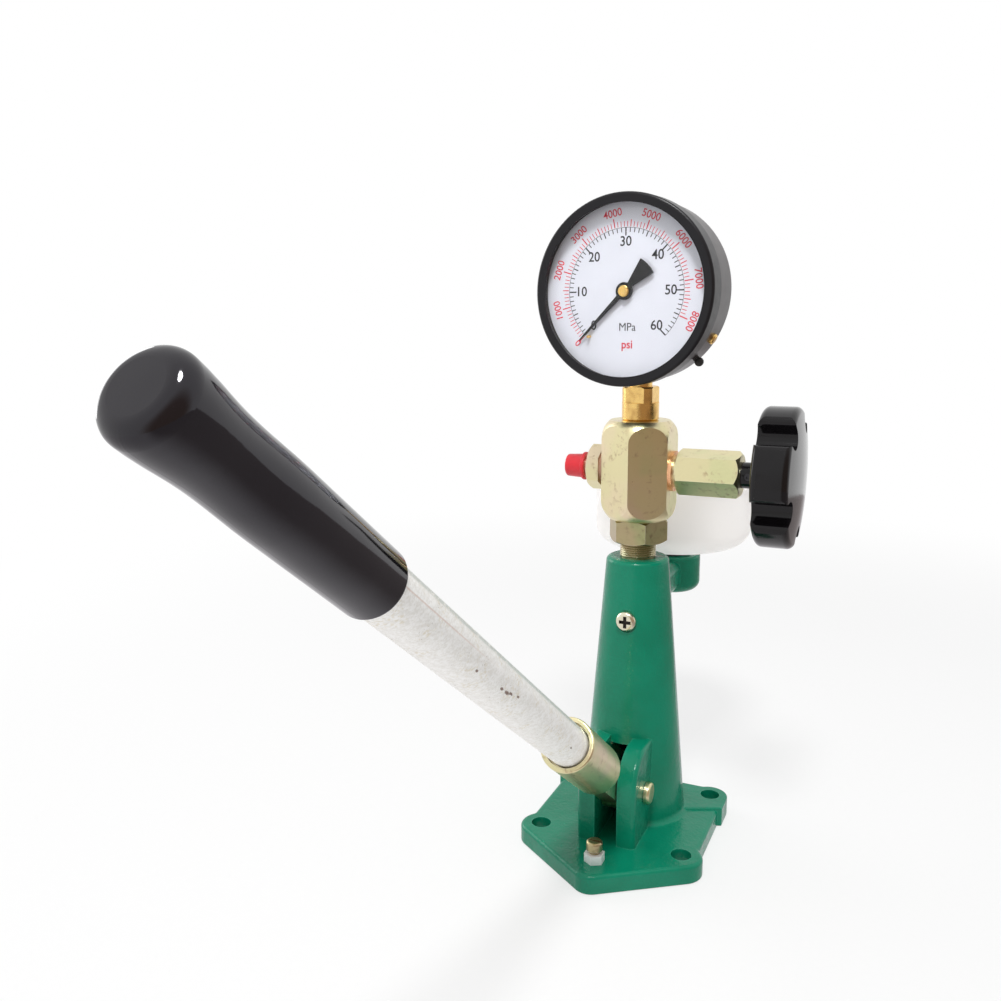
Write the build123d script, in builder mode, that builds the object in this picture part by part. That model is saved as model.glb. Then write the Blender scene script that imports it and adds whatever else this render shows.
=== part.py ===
from build123d import *
import os
from math import asin, cos, degrees, radians, sin, sqrt

os.makedirs("parts", exist_ok=True)

# All sizes are in millimetres. Z is up from the underside of the foot plate, the lever points
# to the front, which is -Y, and the star knob is on the right, which is +X.

# Clearances, shared by the pieces that meet
running_fit = 0.05      # radial room where one piece slides or turns in another
near_gap = 0.3          # room between faces that come close but don't run on each other
overrun = 1.0           # how far a cutting shape runs past the face that it opens
tiny = 0.01             # tolerance for picking edges by their place
half = 0.5
quarter_turn = 90
half_turn = 180
full_turn = 360
hexagon = 6
hexagon_half = radians(half_turn / hexagon)

# Foot plate
plate_thickness = 11.0
tip_reach = 88.5        # from the column's axis to the front tip
tip_radius = 10.0
fixing_x = 42.0
front_fixing_y = -47.0
back_fixing_y = 24.0
fixing_hole_radius = 5.7
front_lug_radius = 12.0
back_lug_radius = 10.5
plate_half_width = 50.0
plate_back_y = 32.5
lug_hollow = 4.0        # radius of the hollow between a lug and the plate's straight edge
pad_rise = 1.2          # how far the pads round the back fixing holes stand up
pad_edge = 1.0
pad_inner_x = 38.2      # the pad's front edge runs from here
pad_inner_y = 3.8
pad_outer_y = 9.2
plate_top_edge = 2.2
plate_bottom_edge = 1.2

# Column
column_top = 167.0
column_foot_radius = 30.7
column_top_radius = 18.1
column_top_edge = 2.5
column_foot_fillet = 3.5
barrel_seat_depth = 19.0
nipple_thread_radius = 10.0
barrel_radius = 9.25
barrel_seat_z = column_top - barrel_seat_depth

# Ears that carry the lever
ear_inner_x = 6.5
ear_outer_x = 17.0
ear_front_y = -54.0
ear_top = 64.0
ear_corner = 21.0
ear_edge = 2.5
slot_top = 60.0
slot_back_y = 8.0

# Lever pivot and heel
pivot_y = -32.5
pivot_z = 35.8
pin_radius = 5.0
heel_length = 33.5
heel_rest_angle = -20.0
lever_swing = 40.0
nose_radius = 5.0
heel_hub_radius = 12.0
heel_end_radius = 3.0   # the bar's end under the nose
heel_end_drop = 1.5
heel_thickness = 12.0
lever_angle = 37.26     # how far the handle stands above level at rest
lug_height = 20.6

# Lever socket, pipe and grip, measured along the lever from the pivot
socket_start = 45.0
socket_floor = 57.0
socket_end = 103.5
socket_radius = 14.0
socket_mouth_radius = 11.65
socket_mouth_depth = 5.0
socket_inner_edge = 6.0
socket_mouth_edge = 1.0
pipe_radius = 10.65
pipe_wall = 2.6
grip_start = 313.0
grip_end = 423.5
grip_radius = 12.5
grip_neck_radius = 12.2
grip_neck_share = 0.78
grip_bulge_radius = 13.2
grip_dome_length = 6.5    # from the widest place to the end
grip_inner_edge = 1.6
grip_outer_edge = 5.5
grip_floor = 3.0

# Pivot pin
pin_head_radius = 6.4
pin_head_thickness = 3.3
pin_head_edge = 1.5
pin_point_edge = 1.0
pin_left_end = 24.5
pin_washer_radius = 8.5
pin_washer_thickness = 1.4
split_pin_wire = 0.6
split_pin_sides = 8
split_hole_radius = 1.35
split_pin_place = 21.2
split_leg_length = 8.5
split_splay = 2.6
split_eye_radius = 1.9
split_eye_height = 5.7
split_bend = 0.9

# Stop screw for the lever
stop_y = -72.0
stop_radius = 3.0
stop_hole_floor = 3.0
stop_nut_flats = 10.0
stop_nut_thickness = 5.0
stop_head_radius = 4.5
stop_head_top = 23.0
stop_head_height = 5.0
stop_slot_width = 1.3
stop_slot_depth = 1.3

# Screw that holds the pump barrel
barrel_screw_drop = 15.0    # below the barrel's seat
barrel_screw_radius = 3.0
barrel_screw_point_radius = 2.0
barrel_screw_head_radius = 5.9
barrel_screw_head_height = 3.4
barrel_screw_seat = 20.0
screw_spot_radius = 6.6
barrel_screw_dome = 2.4
cross_length = 7.0
cross_width = 2.0
cross_depth = 2.2
barrel_screw_z = barrel_seat_z - barrel_screw_drop

# Pump barrel, plunger, foot and spring
barrel_length = 48.0        # below its seat
barrel_collar_radius = 9.7
barrel_collar_height = 4.0
groove_below_screw = 4.5
groove_above_screw = 9.5
barrel_groove_radius = 8.2
inlet_port_radius = 1.2
plunger_radius = 4.0
plunger_button_radius = 5.2
plunger_button_height = 2.0
pusher_radius = 4.0
pusher_height = 8.0
foot_floor = 3.0
foot_height = 9.5
foot_inner_radius = 8.25
main_spring_wire = 1.0
main_spring_radius = 6.7
barrel_bottom_z = barrel_seat_z - barrel_length
barrel_top_z = barrel_seat_z + barrel_collar_height
barrel_groove_bottom = barrel_screw_z - groove_below_screw
barrel_groove_top = barrel_screw_z + groove_above_screw
plunger_rest_top = barrel_groove_bottom

# Delivery valve over the barrel
seat_radius = 9.6
seat_height = 6.0
seat_bore_radius = 2.0
seat_cone_depth = 1.2
seat_cone_radius = 3.6
ball_radius = 3.0
nipple_cavity_radius = 4.6
nipple_cavity_height = 20.0
nipple_show = 9.5          # bare thread between the column and the jam nut
nipple_reach = 16.0         # how far the nipple goes up the valve block
oil_bore_radius = 1.6
valve_spring_wire = 0.45
valve_spring_radius = 2.2
nipple_edge = 1.0
jam_nut_height = 13.5
jam_nut_flats = 30.0
jam_nut_edge = 2.2
jam_nut_slope = 1.4
seal_thickness = 1.5
nipple_seal_bore = 4.0
seat_top_z = barrel_top_z + seat_height
nipple_cavity_top = seat_top_z + nipple_cavity_height
jam_nut_bottom = column_top + nipple_show
block_bottom = jam_nut_bottom + jam_nut_height
nipple_top_z = block_bottom + nipple_reach
nipple_bore_top = nipple_top_z + seal_thickness

# Oil cup behind the column and the arm that carries it
cup_y = 78.0
boss_radius = 18.5
boss_height = 24.0
boss_above_passage = 11.0
boss_bottom_edge = 6.0
boss_top_edge = 1.5
arm_width = 20.0
arm_height = 18.0
arm_edge = 5.0
passage_above_screw = 7.0
passage_radius = 2.4
plug_radius = 4.0
plug_depth = 8.0
plug_socket_radius = 2.3
plug_socket_depth = 4.0
plug_recess = 0.8
cup_bolt_radius = 5.0
cup_bolt_above_passage = 3.0
cup_bolt_bore = 2.0
cup_bolt_flats = 17.0
cup_bolt_head = 6.0
cup_washer_radius = 12.0
cup_washer_bore = 5.3
cup_foot_radius = 14.0
cup_radius = 50.0
cup_foot_height = 8.0      # from the boss to the underside of the bowl
cup_height = 40.0
cup_corner = 12.0
cup_wall = 2.5
lid_overhang = 1.5
lid_thickness = 2.0
lid_skirt_depth = 4.0
lid_skirt_wall = 1.5
lid_knob_radius = 8.0
lid_knob_height = 10.0
lid_edge = 0.8
lid_knob_edge = 3.0
passage_z = barrel_screw_z + passage_above_screw
boss_top = passage_z + boss_above_passage
boss_bottom = boss_top - boss_height
cup_bolt_bottom = passage_z + cup_bolt_above_passage
cup_bottom_z = boss_top + cup_foot_height
cup_top_z = cup_bottom_z + cup_height

# Valve block
block_height = 57.0
block_flats = 38.6
block_end_radius = 17.0
block_turned_depth = 11.5
valve_height = 28.5         # above the block's underside
outlet_thread_radius = 7.0
outlet_thread_end = 10.0
bonnet_thread_radius = 8.0
bonnet_thread_start = 7.5
valve_seat_x = 4.6
valve_chamber_radius = 4.0
slant_bore_radius = 1.12
stem_thread_radius = 7.0
stem_bore_depth = 12.0
stem_end_room = 0.5
block_half_flats = block_flats * half
block_top = block_bottom + block_height
valve_z = block_bottom + valve_height
stem_bore_bottom = block_top - stem_bore_depth
stem_thread_bottom = stem_bore_bottom + stem_end_room

# Outlet, measured to the left of the column's axis
outlet_seal_radius = 10.0
outlet_seal_thickness = 2.0
outlet_flats = 23.0
outlet_hex_length = 7.5
outlet_spigot_radius = 5.5
outlet_spigot_length = 12.0
outlet_cone_radius = 3.2
outlet_cone_depth = 4.0
outlet_bore_radius = 1.3
cap_room = 2.9              # between the outlet's hexagon and the cap
cap_length = 12.2
cap_end_room = 1.2
cap_lip_radius = 8.25
cap_lip_length = 2.2
cap_skirt_radius = 7.1
cap_end_radius = 6.5
cap_end_edge = 1.2
cap_lip_edge = 0.8
outlet_seal_end = block_half_flats + outlet_seal_thickness
outlet_hex_end = outlet_seal_end + outlet_hex_length
outlet_spigot_end = outlet_hex_end + outlet_spigot_length
cap_start = outlet_hex_end + cap_room
cap_end = cap_start + cap_length
cap_inner_end = outlet_spigot_end + cap_end_room

# Shut-off valve, measured to the right of the column's axis
washer_thickness = 2.0
washer_radius = 11.5
bonnet_neck_radius = 9.0
bonnet_neck_length = 2.0
bonnet_hex_length = 35.0
bonnet_flats = 23.0
bonnet_turn = 16.0      # how far the bonnet's flat stands above facing the front
bonnet_edge = 2.0
needle_bore_radius = 4.0
needle_bore_end = 14.0
needle_radius = 3.0
needle_tip_x = 3.6
needle_tip_radius = 0.3
needle_end_x = 26.0
spindle_radius = 5.0
spindle_start = 16.0
spindle_end_depth = 5.5      # behind the knob's front
packing_groove_depth = 9.0   # inside the bonnet's end
packing_groove_width = 2.4
packing_groove_radius = 2.85
packing_ring_radius = 1.0
packing_centre_radius = 3.95
washer_end = block_half_flats + washer_thickness
bonnet_hex_start = washer_end + bonnet_neck_length
bonnet_hex_end = bonnet_hex_start + bonnet_hex_length
spindle_socket_end = needle_end_x + near_gap
packing_groove_start = bonnet_hex_end - packing_groove_depth

# Star knob
hub_radius = 7.25
hub_length = 8.9
knob_back_rise = 1.5
knob_rim_width = 19.0
knob_front_rise = 3.0
knob_radius = 38.4
lobe_count = 5
scallop_radius = 6.75
scallop_inset = 4.6      # from the rim to the middles of the hollows
scallop_place = knob_radius - scallop_inset
lobe_corner = 3.5
knob_turn = 11.5        # how far one lobe stands above facing the front
knob_edge = 3.5
knob_back_share = 0.35
knob_dome_share = 0.27   # how far the front has dropped half way to the rim
set_screw_radius = 2.0
set_screw_place = 4.1    # from the hub's end
set_screw_recess = 0.6
set_screw_socket_radius = 1.0
set_screw_socket_depth = 0.9
hub_start = bonnet_hex_end + near_gap
set_screw_x = hub_start + set_screw_place
knob_start = hub_start + hub_length
knob_rim_start = knob_start + knob_back_rise
knob_rim_end = knob_rim_start + knob_rim_width
knob_front = knob_rim_end + knob_front_rise
spindle_end = knob_front - spindle_end_depth
knob_bore_end = spindle_end + near_gap

# Gauge, turned about the column's axis, with depths measured to the front
gauge_turn = -5.0
stem_collar_height = 10.0
stem_flats_height = 9.0
stem_neck_length = 3.15
stem_radius = 10.5
stem_flats = 18.0
stem_edge = 0.8
stem_neck_radius = 6.5
stem_bore_radius = 1.5
stem_block_half_width = 8.0
stem_block_room = 0.8       # between the block and the case's wall
stem_block_height = 24.2
stem_block_back = -3.0
stem_block_front = 11.0
case_radius = 49.0
case_wall = 2.0
case_back = -7.0
case_back_wall = 2.0
case_back_edge = 4.0
case_rim = 25.6
case_step = 20.0
case_step_depth = 1.0
bezel_start = 19.0
bezel_front = 31.1
bezel_wall = 1.5
bezel_lip = 0.9
bezel_edge = 1.6
bezel_width = 5.25
lens_back = 28.6
lens_front = 30.2
lens_room = 0.2
gasket_width = 1.8
dial_back = 24.0
dial_front = 25.0
dial_room = 0.4
dial_hole_radius = 2.5
pointer_back = 26.2
pointer_front = 27.0
pointer_hub_back = 25.7
pointer_hub_radius = 4.6
pointer_tip_reach = 36.4
pointer_root_width = 2.8
pointer_tip_width = 0.7
pointer_rest_angle = -135.0
fan_radius = 18.9
fan_half_angle = 16.0
fan_root_width = 0.7
pointer_cap_radius = 3.1
pointer_cap_front = 28.1
pointer_cap_edge = 0.7
stop_pin_radius = 0.8
stop_pin_place = 31.4
stop_pin_front = 27.6
arbor_radius = 1.2
arbor_back = 11.0
pinion_radius = 1.45
pinion_back = 13.9
pinion_front = 17.0
sector_pivot_drop = 19.2
sector_rim_radius = 17.45
sector_back = 14.6
sector_front = 16.2
sector_hub_radius = 2.4
sector_hub_front = 18.5
sector_first_angle = -3.0
sector_last_angle = 28.0
sector_staff_radius = 0.9
sector_tail_reach = 10.0
sector_tail_angle = 112.0
sector_tail_width = 3.4
link_back = 13.2
link_front = 14.1
link_width = 3.0
link_pin_radius = 0.7
link_pin_back = 12.7
link_hole_radius = 0.8
frame_back = 11.0
frame_front = 20.2
frame_plate = 1.2
frame_half_width = 11.0
frame_top = 8.0
frame_bottom = 29.0
pillar_radius = 1.7
pillar_x = 8.6
pillar_top = 4.5
pillar_bottom = 24.0
tube_radius = 34.0
tube_thickness = 3.4
tube_back = -1.0
tube_front = 9.0
tube_edge = 1.4
tube_first_angle = 194.5
tube_last_angle = 112.0
tip_tab_front = 12.6
case_screw_angle = 121.0
case_screw_depth = 5.0
case_screw_radius = 1.5
case_screw_head_radius = 3.0
case_screw_head_height = 1.9
case_screw_edge = 1.2
case_screw_length = 4.5
case_plug_angle = 137.0
case_plug_depth = 5.0
case_plug_radius = 1.8
case_plug_ball_radius = 2.5
case_plug_ball_place = 2.6   # outside the case
case_plug_length = 3.5
case_inner = case_radius - case_wall
case_step_radius = case_radius - case_step_depth
bezel_radius = case_radius + bezel_wall
window_radius = bezel_radius - bezel_width
lens_radius = case_step_radius - lens_room
gasket_inner_radius = lens_radius - gasket_width
dial_radius = case_inner - dial_room
stem_block_bottom = case_inner - stem_block_room
case_screw_inner = case_radius - case_screw_length
case_plug_inner = case_radius - case_plug_length
stem_collar_top = block_top + stem_collar_height
stem_flats_top = stem_collar_top + stem_flats_height
gauge_z = stem_flats_top + stem_neck_length + case_radius

# Planes and axes that the pieces share
lever_rise = sin(radians(lever_angle))
lever_run = cos(radians(lever_angle))
pivot_point = (0, pivot_y, pivot_z)
lever_direction = (0, -lever_run, lever_rise)
lever_side = Plane(origin=pivot_point, x_dir=lever_direction, z_dir=(1, 0, 0))
lever_axis = Axis(pivot_point, lever_direction)
pivot_axis = Axis(pivot_point, (1, 0, 0))
pivot_section = Plane(origin=pivot_point, x_dir=(1, 0, 0), z_dir=(0, -1, 0))
valve_point = (0, 0, valve_z)
valve_section = Plane(origin=valve_point, x_dir=(1, 0, 0), z_dir=(0, -1, 0))
outlet_section = Plane(origin=valve_point, x_dir=(-1, 0, 0), z_dir=(0, 1, 0))
valve_axis = Axis(valve_point, (1, 0, 0))
screw_point = (0, 0, barrel_screw_z)
screw_section = Plane(origin=screw_point, x_dir=(0, -1, 0), z_dir=(-1, 0, 0))
screw_axis = Axis(screw_point, (0, -1, 0))
cup_section = Plane(origin=(0, cup_y, 0), x_dir=(1, 0, 0), z_dir=(0, -1, 0))
cup_axis = Axis((0, cup_y, 0), (0, 0, 1))
gauge_cos = cos(radians(gauge_turn))
gauge_sin = sin(radians(gauge_turn))
gauge_right = Vector(gauge_cos, gauge_sin, 0)
gauge_front = Vector(gauge_sin, -gauge_cos, 0)
gauge_point = Vector(0, 0, gauge_z)
dial_plane = Plane(origin=gauge_point, x_dir=gauge_right, z_dir=gauge_front)
gauge_section = Plane(origin=gauge_point, x_dir=gauge_front, z_dir=gauge_front.cross(Vector(0, 0, 1)))
gauge_axis = Axis(gauge_point, gauge_front)
stem_plane = Plane(origin=(0, 0, 0), x_dir=gauge_right, z_dir=(0, 0, 1))


def on_dial(radius, angle):
    turn = radians(angle)
    return (radius * sin(turn), radius * cos(turn))


def beside(radius, side, angle):
    turn = radians(angle)
    return (radius * sin(turn) + side * cos(turn), radius * cos(turn) - side * sin(turn))


def axial_section(angle):
    """A plane through the gauge's axis: X runs to the front and Y outward at an angle."""
    across, up = on_dial(1, angle)
    outward = gauge_right * across + Vector(0, 0, 1) * up
    return Plane(origin=gauge_point, x_dir=gauge_front, z_dir=gauge_front.cross(outward))


def radial_section(angle, depth):
    """A plane whose X runs outward through the gauge case's side at an angle and a depth."""
    across, up = on_dial(1, angle)
    outward = gauge_right * across + Vector(0, 0, 1) * up
    return Plane(origin=gauge_point + gauge_front * depth, x_dir=outward, z_dir=gauge_front)


# Places that follow from the sizes
heel_rest = radians(heel_rest_angle)
nose_y = heel_length * cos(heel_rest)
nose_z = heel_length * sin(heel_rest)
nose_top = pivot_z + nose_z + nose_radius
stroke = 2 * heel_length * sin(radians(lever_swing * half))
foot_bottom = nose_top + near_gap
foot_disc_z = foot_bottom + pusher_height
foot_floor_z = foot_disc_z + foot_floor
shoulder_z = foot_disc_z - near_gap
bore_radius = barrel_radius + running_fit
inlet_port_z = plunger_rest_top + inlet_port_radius + 2 * running_fit
print("stroke", round(stroke, 2), "foot bottom", round(foot_bottom, 2))

# One ear, rounded on its outer side
with BuildPart() as ear:
    with BuildSketch(Plane.YZ.offset(ear_inner_x)) as ear_outline:
        Polygon((0, 0), (0, ear_top), (ear_front_y, ear_top), (ear_front_y, 0), align=None)
        ear_front_vertices = ear_outline.vertices().group_by(Axis.X)[0]
        fillet(ear_front_vertices.sort_by(Axis.Y)[-1], ear_corner)
    extrude(amount=ear_outer_x - ear_inner_x)
    ear_outer_edges = ear.faces().sort_by(Axis.X)[-1].edges()
    fillet(ear_outer_edges.filter_by(lambda e: e.center().Y < -tiny and e.center().Z > tiny), ear_edge)

# Cup arm with its boss
with BuildPart() as cup_arm:
    with BuildSketch(Plane.XY.offset(boss_bottom)):
        with Locations((0, cup_y)):
            Circle(boss_radius)
    extrude(amount=boss_top - boss_bottom)
    fillet(cup_arm.edges().group_by(Axis.Z)[0], boss_bottom_edge)
    fillet(cup_arm.edges().group_by(Axis.Z)[-1], boss_top_edge)
    with BuildSketch(Plane.XZ.offset(-cup_y)):
        with Locations((0, passage_z)):
            RectangleRounded(arm_width, arm_height, arm_edge)
    extrude(amount=cup_y)

# Outline of the foot plate
pad_slope = (pad_outer_y - pad_inner_y) / (plate_half_width - pad_inner_x)
pad_middle_y = pad_inner_y - pad_inner_x * pad_slope
pad_side_x = fixing_x + back_lug_radius
pad_side_y = pad_middle_y + pad_side_x * pad_slope
with BuildSketch() as plate_outline:
    with Locations((0, tip_radius - tip_reach)):
        Circle(tip_radius)
    with Locations((-fixing_x, front_fixing_y), (fixing_x, front_fixing_y)):
        Circle(front_lug_radius)
    make_hull()
    with Locations((0, (front_fixing_y + back_fixing_y) * half)):
        Rectangle(2 * plate_half_width, back_fixing_y - front_fixing_y)
    with Locations((-fixing_x, back_fixing_y), (fixing_x, back_fixing_y)):
        Circle(back_lug_radius)
    with Locations((0, (back_fixing_y + plate_back_y) * half)):
        Rectangle(2 * fixing_x, plate_back_y - back_fixing_y)
    Polygon((0, pad_middle_y), (pad_side_x, pad_side_y), (pad_side_x, back_fixing_y),
            (-pad_side_x, back_fixing_y), (-pad_side_x, pad_side_y), align=None)
    Circle(column_foot_radius + column_foot_fillet + plate_top_edge + near_gap)
    corners = plate_outline.vertices()
    side_corners = corners.filter_by(lambda v: abs(abs(v.X) - plate_half_width) < tiny and v.Y < 0)
    back_corners = corners.filter_by(lambda v: abs(v.Y - plate_back_y) < tiny)
    fillet(side_corners + back_corners, lug_hollow)

# Raised pads round the back fixing holes
with BuildPart() as back_pads:
    with BuildSketch(Plane.XY.offset(plate_thickness - plate_top_edge)):
        add(plate_outline.sketch)
        Polygon((0, pad_middle_y), (2 * pad_side_x, pad_middle_y + 2 * pad_side_x * pad_slope),
                (2 * pad_side_x, 2 * plate_back_y), (-2 * pad_side_x, 2 * plate_back_y),
                (-2 * pad_side_x, pad_middle_y + 2 * pad_side_x * pad_slope),
                align=None, mode=Mode.INTERSECT)
    extrude(amount=plate_top_edge + pad_rise)
    fillet(back_pads.edges().group_by(Axis.Z)[-1], pad_edge)

# Body casting
with BuildPart() as body_casting:
    add(plate_outline.sketch)
    extrude(amount=plate_thickness)
    fillet(body_casting.edges().group_by(Axis.Z)[-1], plate_top_edge)
    fillet(body_casting.edges().group_by(Axis.Z)[0], plate_bottom_edge)
    with BuildSketch(Plane.XZ) as column_half:
        Polygon((0, plate_thickness), (column_foot_radius, plate_thickness),
                (column_top_radius, column_top), (0, column_top), align=None)
        fillet(column_half.vertices().group_by(Axis.Y)[-1].sort_by(Axis.X)[-1], column_top_edge)
    revolve(axis=Axis.Z)
    foot_ring = body_casting.edges().filter_by(GeomType.CIRCLE).filter_by(
        lambda e: abs(e.radius - column_foot_radius) < tiny)
    fillet(foot_ring, column_foot_fillet)
    add(back_pads.part)
    add(ear.part)
    add(mirror(ear.part, about=Plane.YZ, mode=Mode.PRIVATE))
    add(cup_arm.part)
    with Locations((0, 0, column_top)):
        CounterBoreHole(radius=bore_radius, counter_bore_radius=nipple_thread_radius,
                        counter_bore_depth=column_top - barrel_seat_z,
                        depth=column_top - shoulder_z)
    with Locations((0, (ear_front_y - column_foot_fillet) * half, (slot_top + plate_thickness) * half)):
        Box(2 * ear_inner_x, column_foot_fillet - ear_front_y, slot_top - plate_thickness,
            mode=Mode.SUBTRACT)
    with Locations((0, 0, plate_thickness)):
        Box(2 * ear_inner_x, 2 * slot_back_y, shoulder_z - plate_thickness,
            align=(Align.CENTER, Align.CENTER, Align.MIN), mode=Mode.SUBTRACT)
    with BuildSketch(Plane.YZ.offset(-ear_outer_x - overrun)):
        with Locations((pivot_y, pivot_z)):
            Circle(pin_radius + running_fit)
    extrude(amount=2 * (ear_outer_x + overrun), mode=Mode.SUBTRACT)
    pad_top = plate_thickness + pad_rise
    with Locations((-fixing_x, front_fixing_y, pad_top), (fixing_x, front_fixing_y, pad_top),
                   (-fixing_x, back_fixing_y, pad_top), (fixing_x, back_fixing_y, pad_top)):
        Hole(fixing_hole_radius, depth=pad_top)
    with Locations((0, stop_y, plate_thickness)):
        Hole(stop_radius + running_fit, depth=plate_thickness - stop_hole_floor)
    with BuildSketch(Plane.XZ):
        with Locations((0, barrel_screw_z)):
            Circle(barrel_screw_radius + running_fit)
    extrude(amount=column_foot_radius, mode=Mode.SUBTRACT)
    with BuildSketch(Plane.XZ.offset(barrel_screw_seat)):
        with Locations((0, barrel_screw_z)):
            Circle(screw_spot_radius)
    extrude(amount=column_foot_radius - barrel_screw_seat, mode=Mode.SUBTRACT)
    with BuildSketch(Plane.XZ):
        with Locations((0, passage_z)):
            Circle(passage_radius)
    extrude(amount=-(cup_y + boss_radius + overrun), mode=Mode.SUBTRACT)
    with BuildSketch(Plane.XZ.offset(plug_depth - cup_y - boss_radius)):
        with Locations((0, passage_z)):
            Circle(plug_radius + running_fit)
    extrude(amount=-(plug_depth + overrun), mode=Mode.SUBTRACT)
    with Locations((0, cup_y, boss_top)):
        CounterBoreHole(radius=cup_bolt_bore, counter_bore_radius=cup_bolt_radius + running_fit,
                        counter_bore_depth=boss_top - cup_bolt_bottom + near_gap,
                        depth=boss_top - passage_z)

# Cross-head screw that holds the pump barrel
with BuildPart() as barrel_screw:
    with BuildSketch(screw_section) as barrel_screw_half:
        head_top = barrel_screw_seat + barrel_screw_head_height
        dog_end = barrel_groove_radius + near_gap
        Polygon((dog_end, 0), (dog_end, barrel_screw_point_radius),
                (bore_radius, barrel_screw_point_radius), (bore_radius, barrel_screw_radius),
                (barrel_screw_seat, barrel_screw_radius), (barrel_screw_seat, barrel_screw_head_radius),
                (head_top, barrel_screw_head_radius), (head_top, 0), align=None)
        screw_front_vertices = barrel_screw_half.vertices().group_by(Axis.X)[-1]
        fillet(screw_front_vertices.sort_by(Axis.Y)[-1], barrel_screw_dome)
    revolve(axis=screw_axis)
    with BuildSketch(Plane.XZ.offset(head_top - cross_depth)):
        with Locations((0, barrel_screw_z)):
            Rectangle(cross_length, cross_width)
            Rectangle(cross_width, cross_length)
    extrude(amount=cross_depth + overrun, mode=Mode.SUBTRACT)

# Pump barrel with its feed groove and inlet ports
with BuildPart() as pump_barrel:
    with BuildSketch(Plane.XZ):
        plunger_bore = plunger_radius + running_fit
        Polygon((plunger_bore, barrel_bottom_z), (barrel_radius, barrel_bottom_z),
                (barrel_radius, barrel_groove_bottom), (barrel_groove_radius, barrel_groove_bottom),
                (barrel_groove_radius, barrel_groove_top), (barrel_radius, barrel_groove_top),
                (barrel_radius, barrel_seat_z), (barrel_collar_radius, barrel_seat_z),
                (barrel_collar_radius, barrel_top_z), (plunger_bore, barrel_top_z), align=None)
    revolve(axis=Axis.Z)
    with BuildSketch(Plane.XZ.offset(-barrel_radius)):
        with Locations((0, inlet_port_z)):
            Circle(inlet_port_radius)
    extrude(amount=2 * barrel_radius, mode=Mode.SUBTRACT)

# Plunger with the button that the foot carries
with BuildPart() as pump_plunger:
    with BuildSketch(Plane.XZ):
        button_top = foot_floor_z + plunger_button_height
        Polygon((0, foot_floor_z), (plunger_button_radius, foot_floor_z),
                (plunger_button_radius, button_top), (plunger_radius, button_top),
                (plunger_radius, plunger_rest_top), (0, plunger_rest_top), align=None)
    revolve(axis=Axis.Z)

# Cup-shaped foot between the heel's nose and the plunger
with BuildPart() as plunger_foot:
    with BuildSketch(Plane.XZ):
        foot_top = foot_disc_z + foot_height
        Polygon((0, foot_bottom), (pusher_radius, foot_bottom), (pusher_radius, foot_disc_z),
                (barrel_radius, foot_disc_z), (barrel_radius, foot_top),
                (foot_inner_radius, foot_top), (foot_inner_radius, foot_floor_z),
                (0, foot_floor_z), align=None)
    revolve(axis=Axis.Z)

# Return spring, as the sleeve that its coils fill
with BuildPart() as plunger_spring:
    with BuildSketch(Plane.XY.offset(foot_floor_z)):
        Circle(main_spring_radius + main_spring_wire)
        Circle(main_spring_radius - main_spring_wire, mode=Mode.SUBTRACT)
    extrude(amount=barrel_bottom_z - foot_floor_z)

# Delivery valve seat
with BuildPart() as delivery_seat:
    with BuildSketch(Plane.XZ):
        Polygon((seat_bore_radius, barrel_top_z), (seat_radius, barrel_top_z),
                (seat_radius, seat_top_z), (seat_cone_radius, seat_top_z),
                (seat_bore_radius, seat_top_z - seat_cone_depth), align=None)
    revolve(axis=Axis.Z)

# Delivery valve ball
seat_edge_z = seat_top_z - seat_cone_depth
ball_z = seat_edge_z + sqrt(ball_radius * ball_radius - seat_bore_radius * seat_bore_radius) + near_gap
with BuildPart() as delivery_valve:
    with Locations((0, 0, ball_z)):
        Sphere(ball_radius)

# Delivery valve spring, as the sleeve that its coils fill
with BuildPart() as delivery_spring:
    spring_inner = valve_spring_radius - valve_spring_wire
    spring_bottom = ball_z + sqrt(ball_radius * ball_radius - spring_inner * spring_inner) + near_gap
    with BuildSketch(Plane.XY.offset(spring_bottom)):
        Circle(valve_spring_radius + valve_spring_wire)
        Circle(spring_inner, mode=Mode.SUBTRACT)
    extrude(amount=nipple_cavity_top - spring_bottom)

# Threaded nipple under the valve block
with BuildPart() as valve_nipple:
    with BuildSketch(Plane.XZ) as nipple_half:
        nipple_radius = nipple_thread_radius - running_fit
        Polygon((nipple_cavity_radius, seat_top_z), (nipple_radius, seat_top_z),
                (nipple_radius, nipple_top_z), (oil_bore_radius, nipple_top_z),
                (oil_bore_radius, nipple_cavity_top), (nipple_cavity_radius, nipple_cavity_top),
                align=None)
        chamfer(nipple_half.vertices().group_by(Axis.X)[-1], nipple_edge)
    revolve(axis=Axis.Z)

# Jam nut
with BuildPart() as jam_nut:
    with BuildSketch(Plane.XY.offset(jam_nut_bottom)):
        RegularPolygon(jam_nut_flats * half, hexagon, major_radius=False)
    extrude(amount=block_bottom - jam_nut_bottom)
    with BuildSketch(Plane.XZ):
        nut_corner = jam_nut_flats * half / cos(hexagon_half)
        nut_face = nut_corner - jam_nut_edge
        Polygon((nipple_thread_radius, jam_nut_bottom), (nut_face, jam_nut_bottom),
                (nut_corner, jam_nut_bottom + jam_nut_slope), (nut_corner, block_bottom - jam_nut_slope),
                (nut_face, block_bottom), (nipple_thread_radius, block_bottom), align=None)
    revolve(axis=Axis.Z, mode=Mode.INTERSECT)

# Seal on the nipple's end
with BuildPart() as nipple_seal:
    with BuildSketch(Plane.XY.offset(nipple_top_z)):
        Circle(nipple_thread_radius - running_fit)
        Circle(nipple_seal_bore, mode=Mode.SUBTRACT)
    extrude(amount=nipple_bore_top - nipple_top_z)

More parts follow.
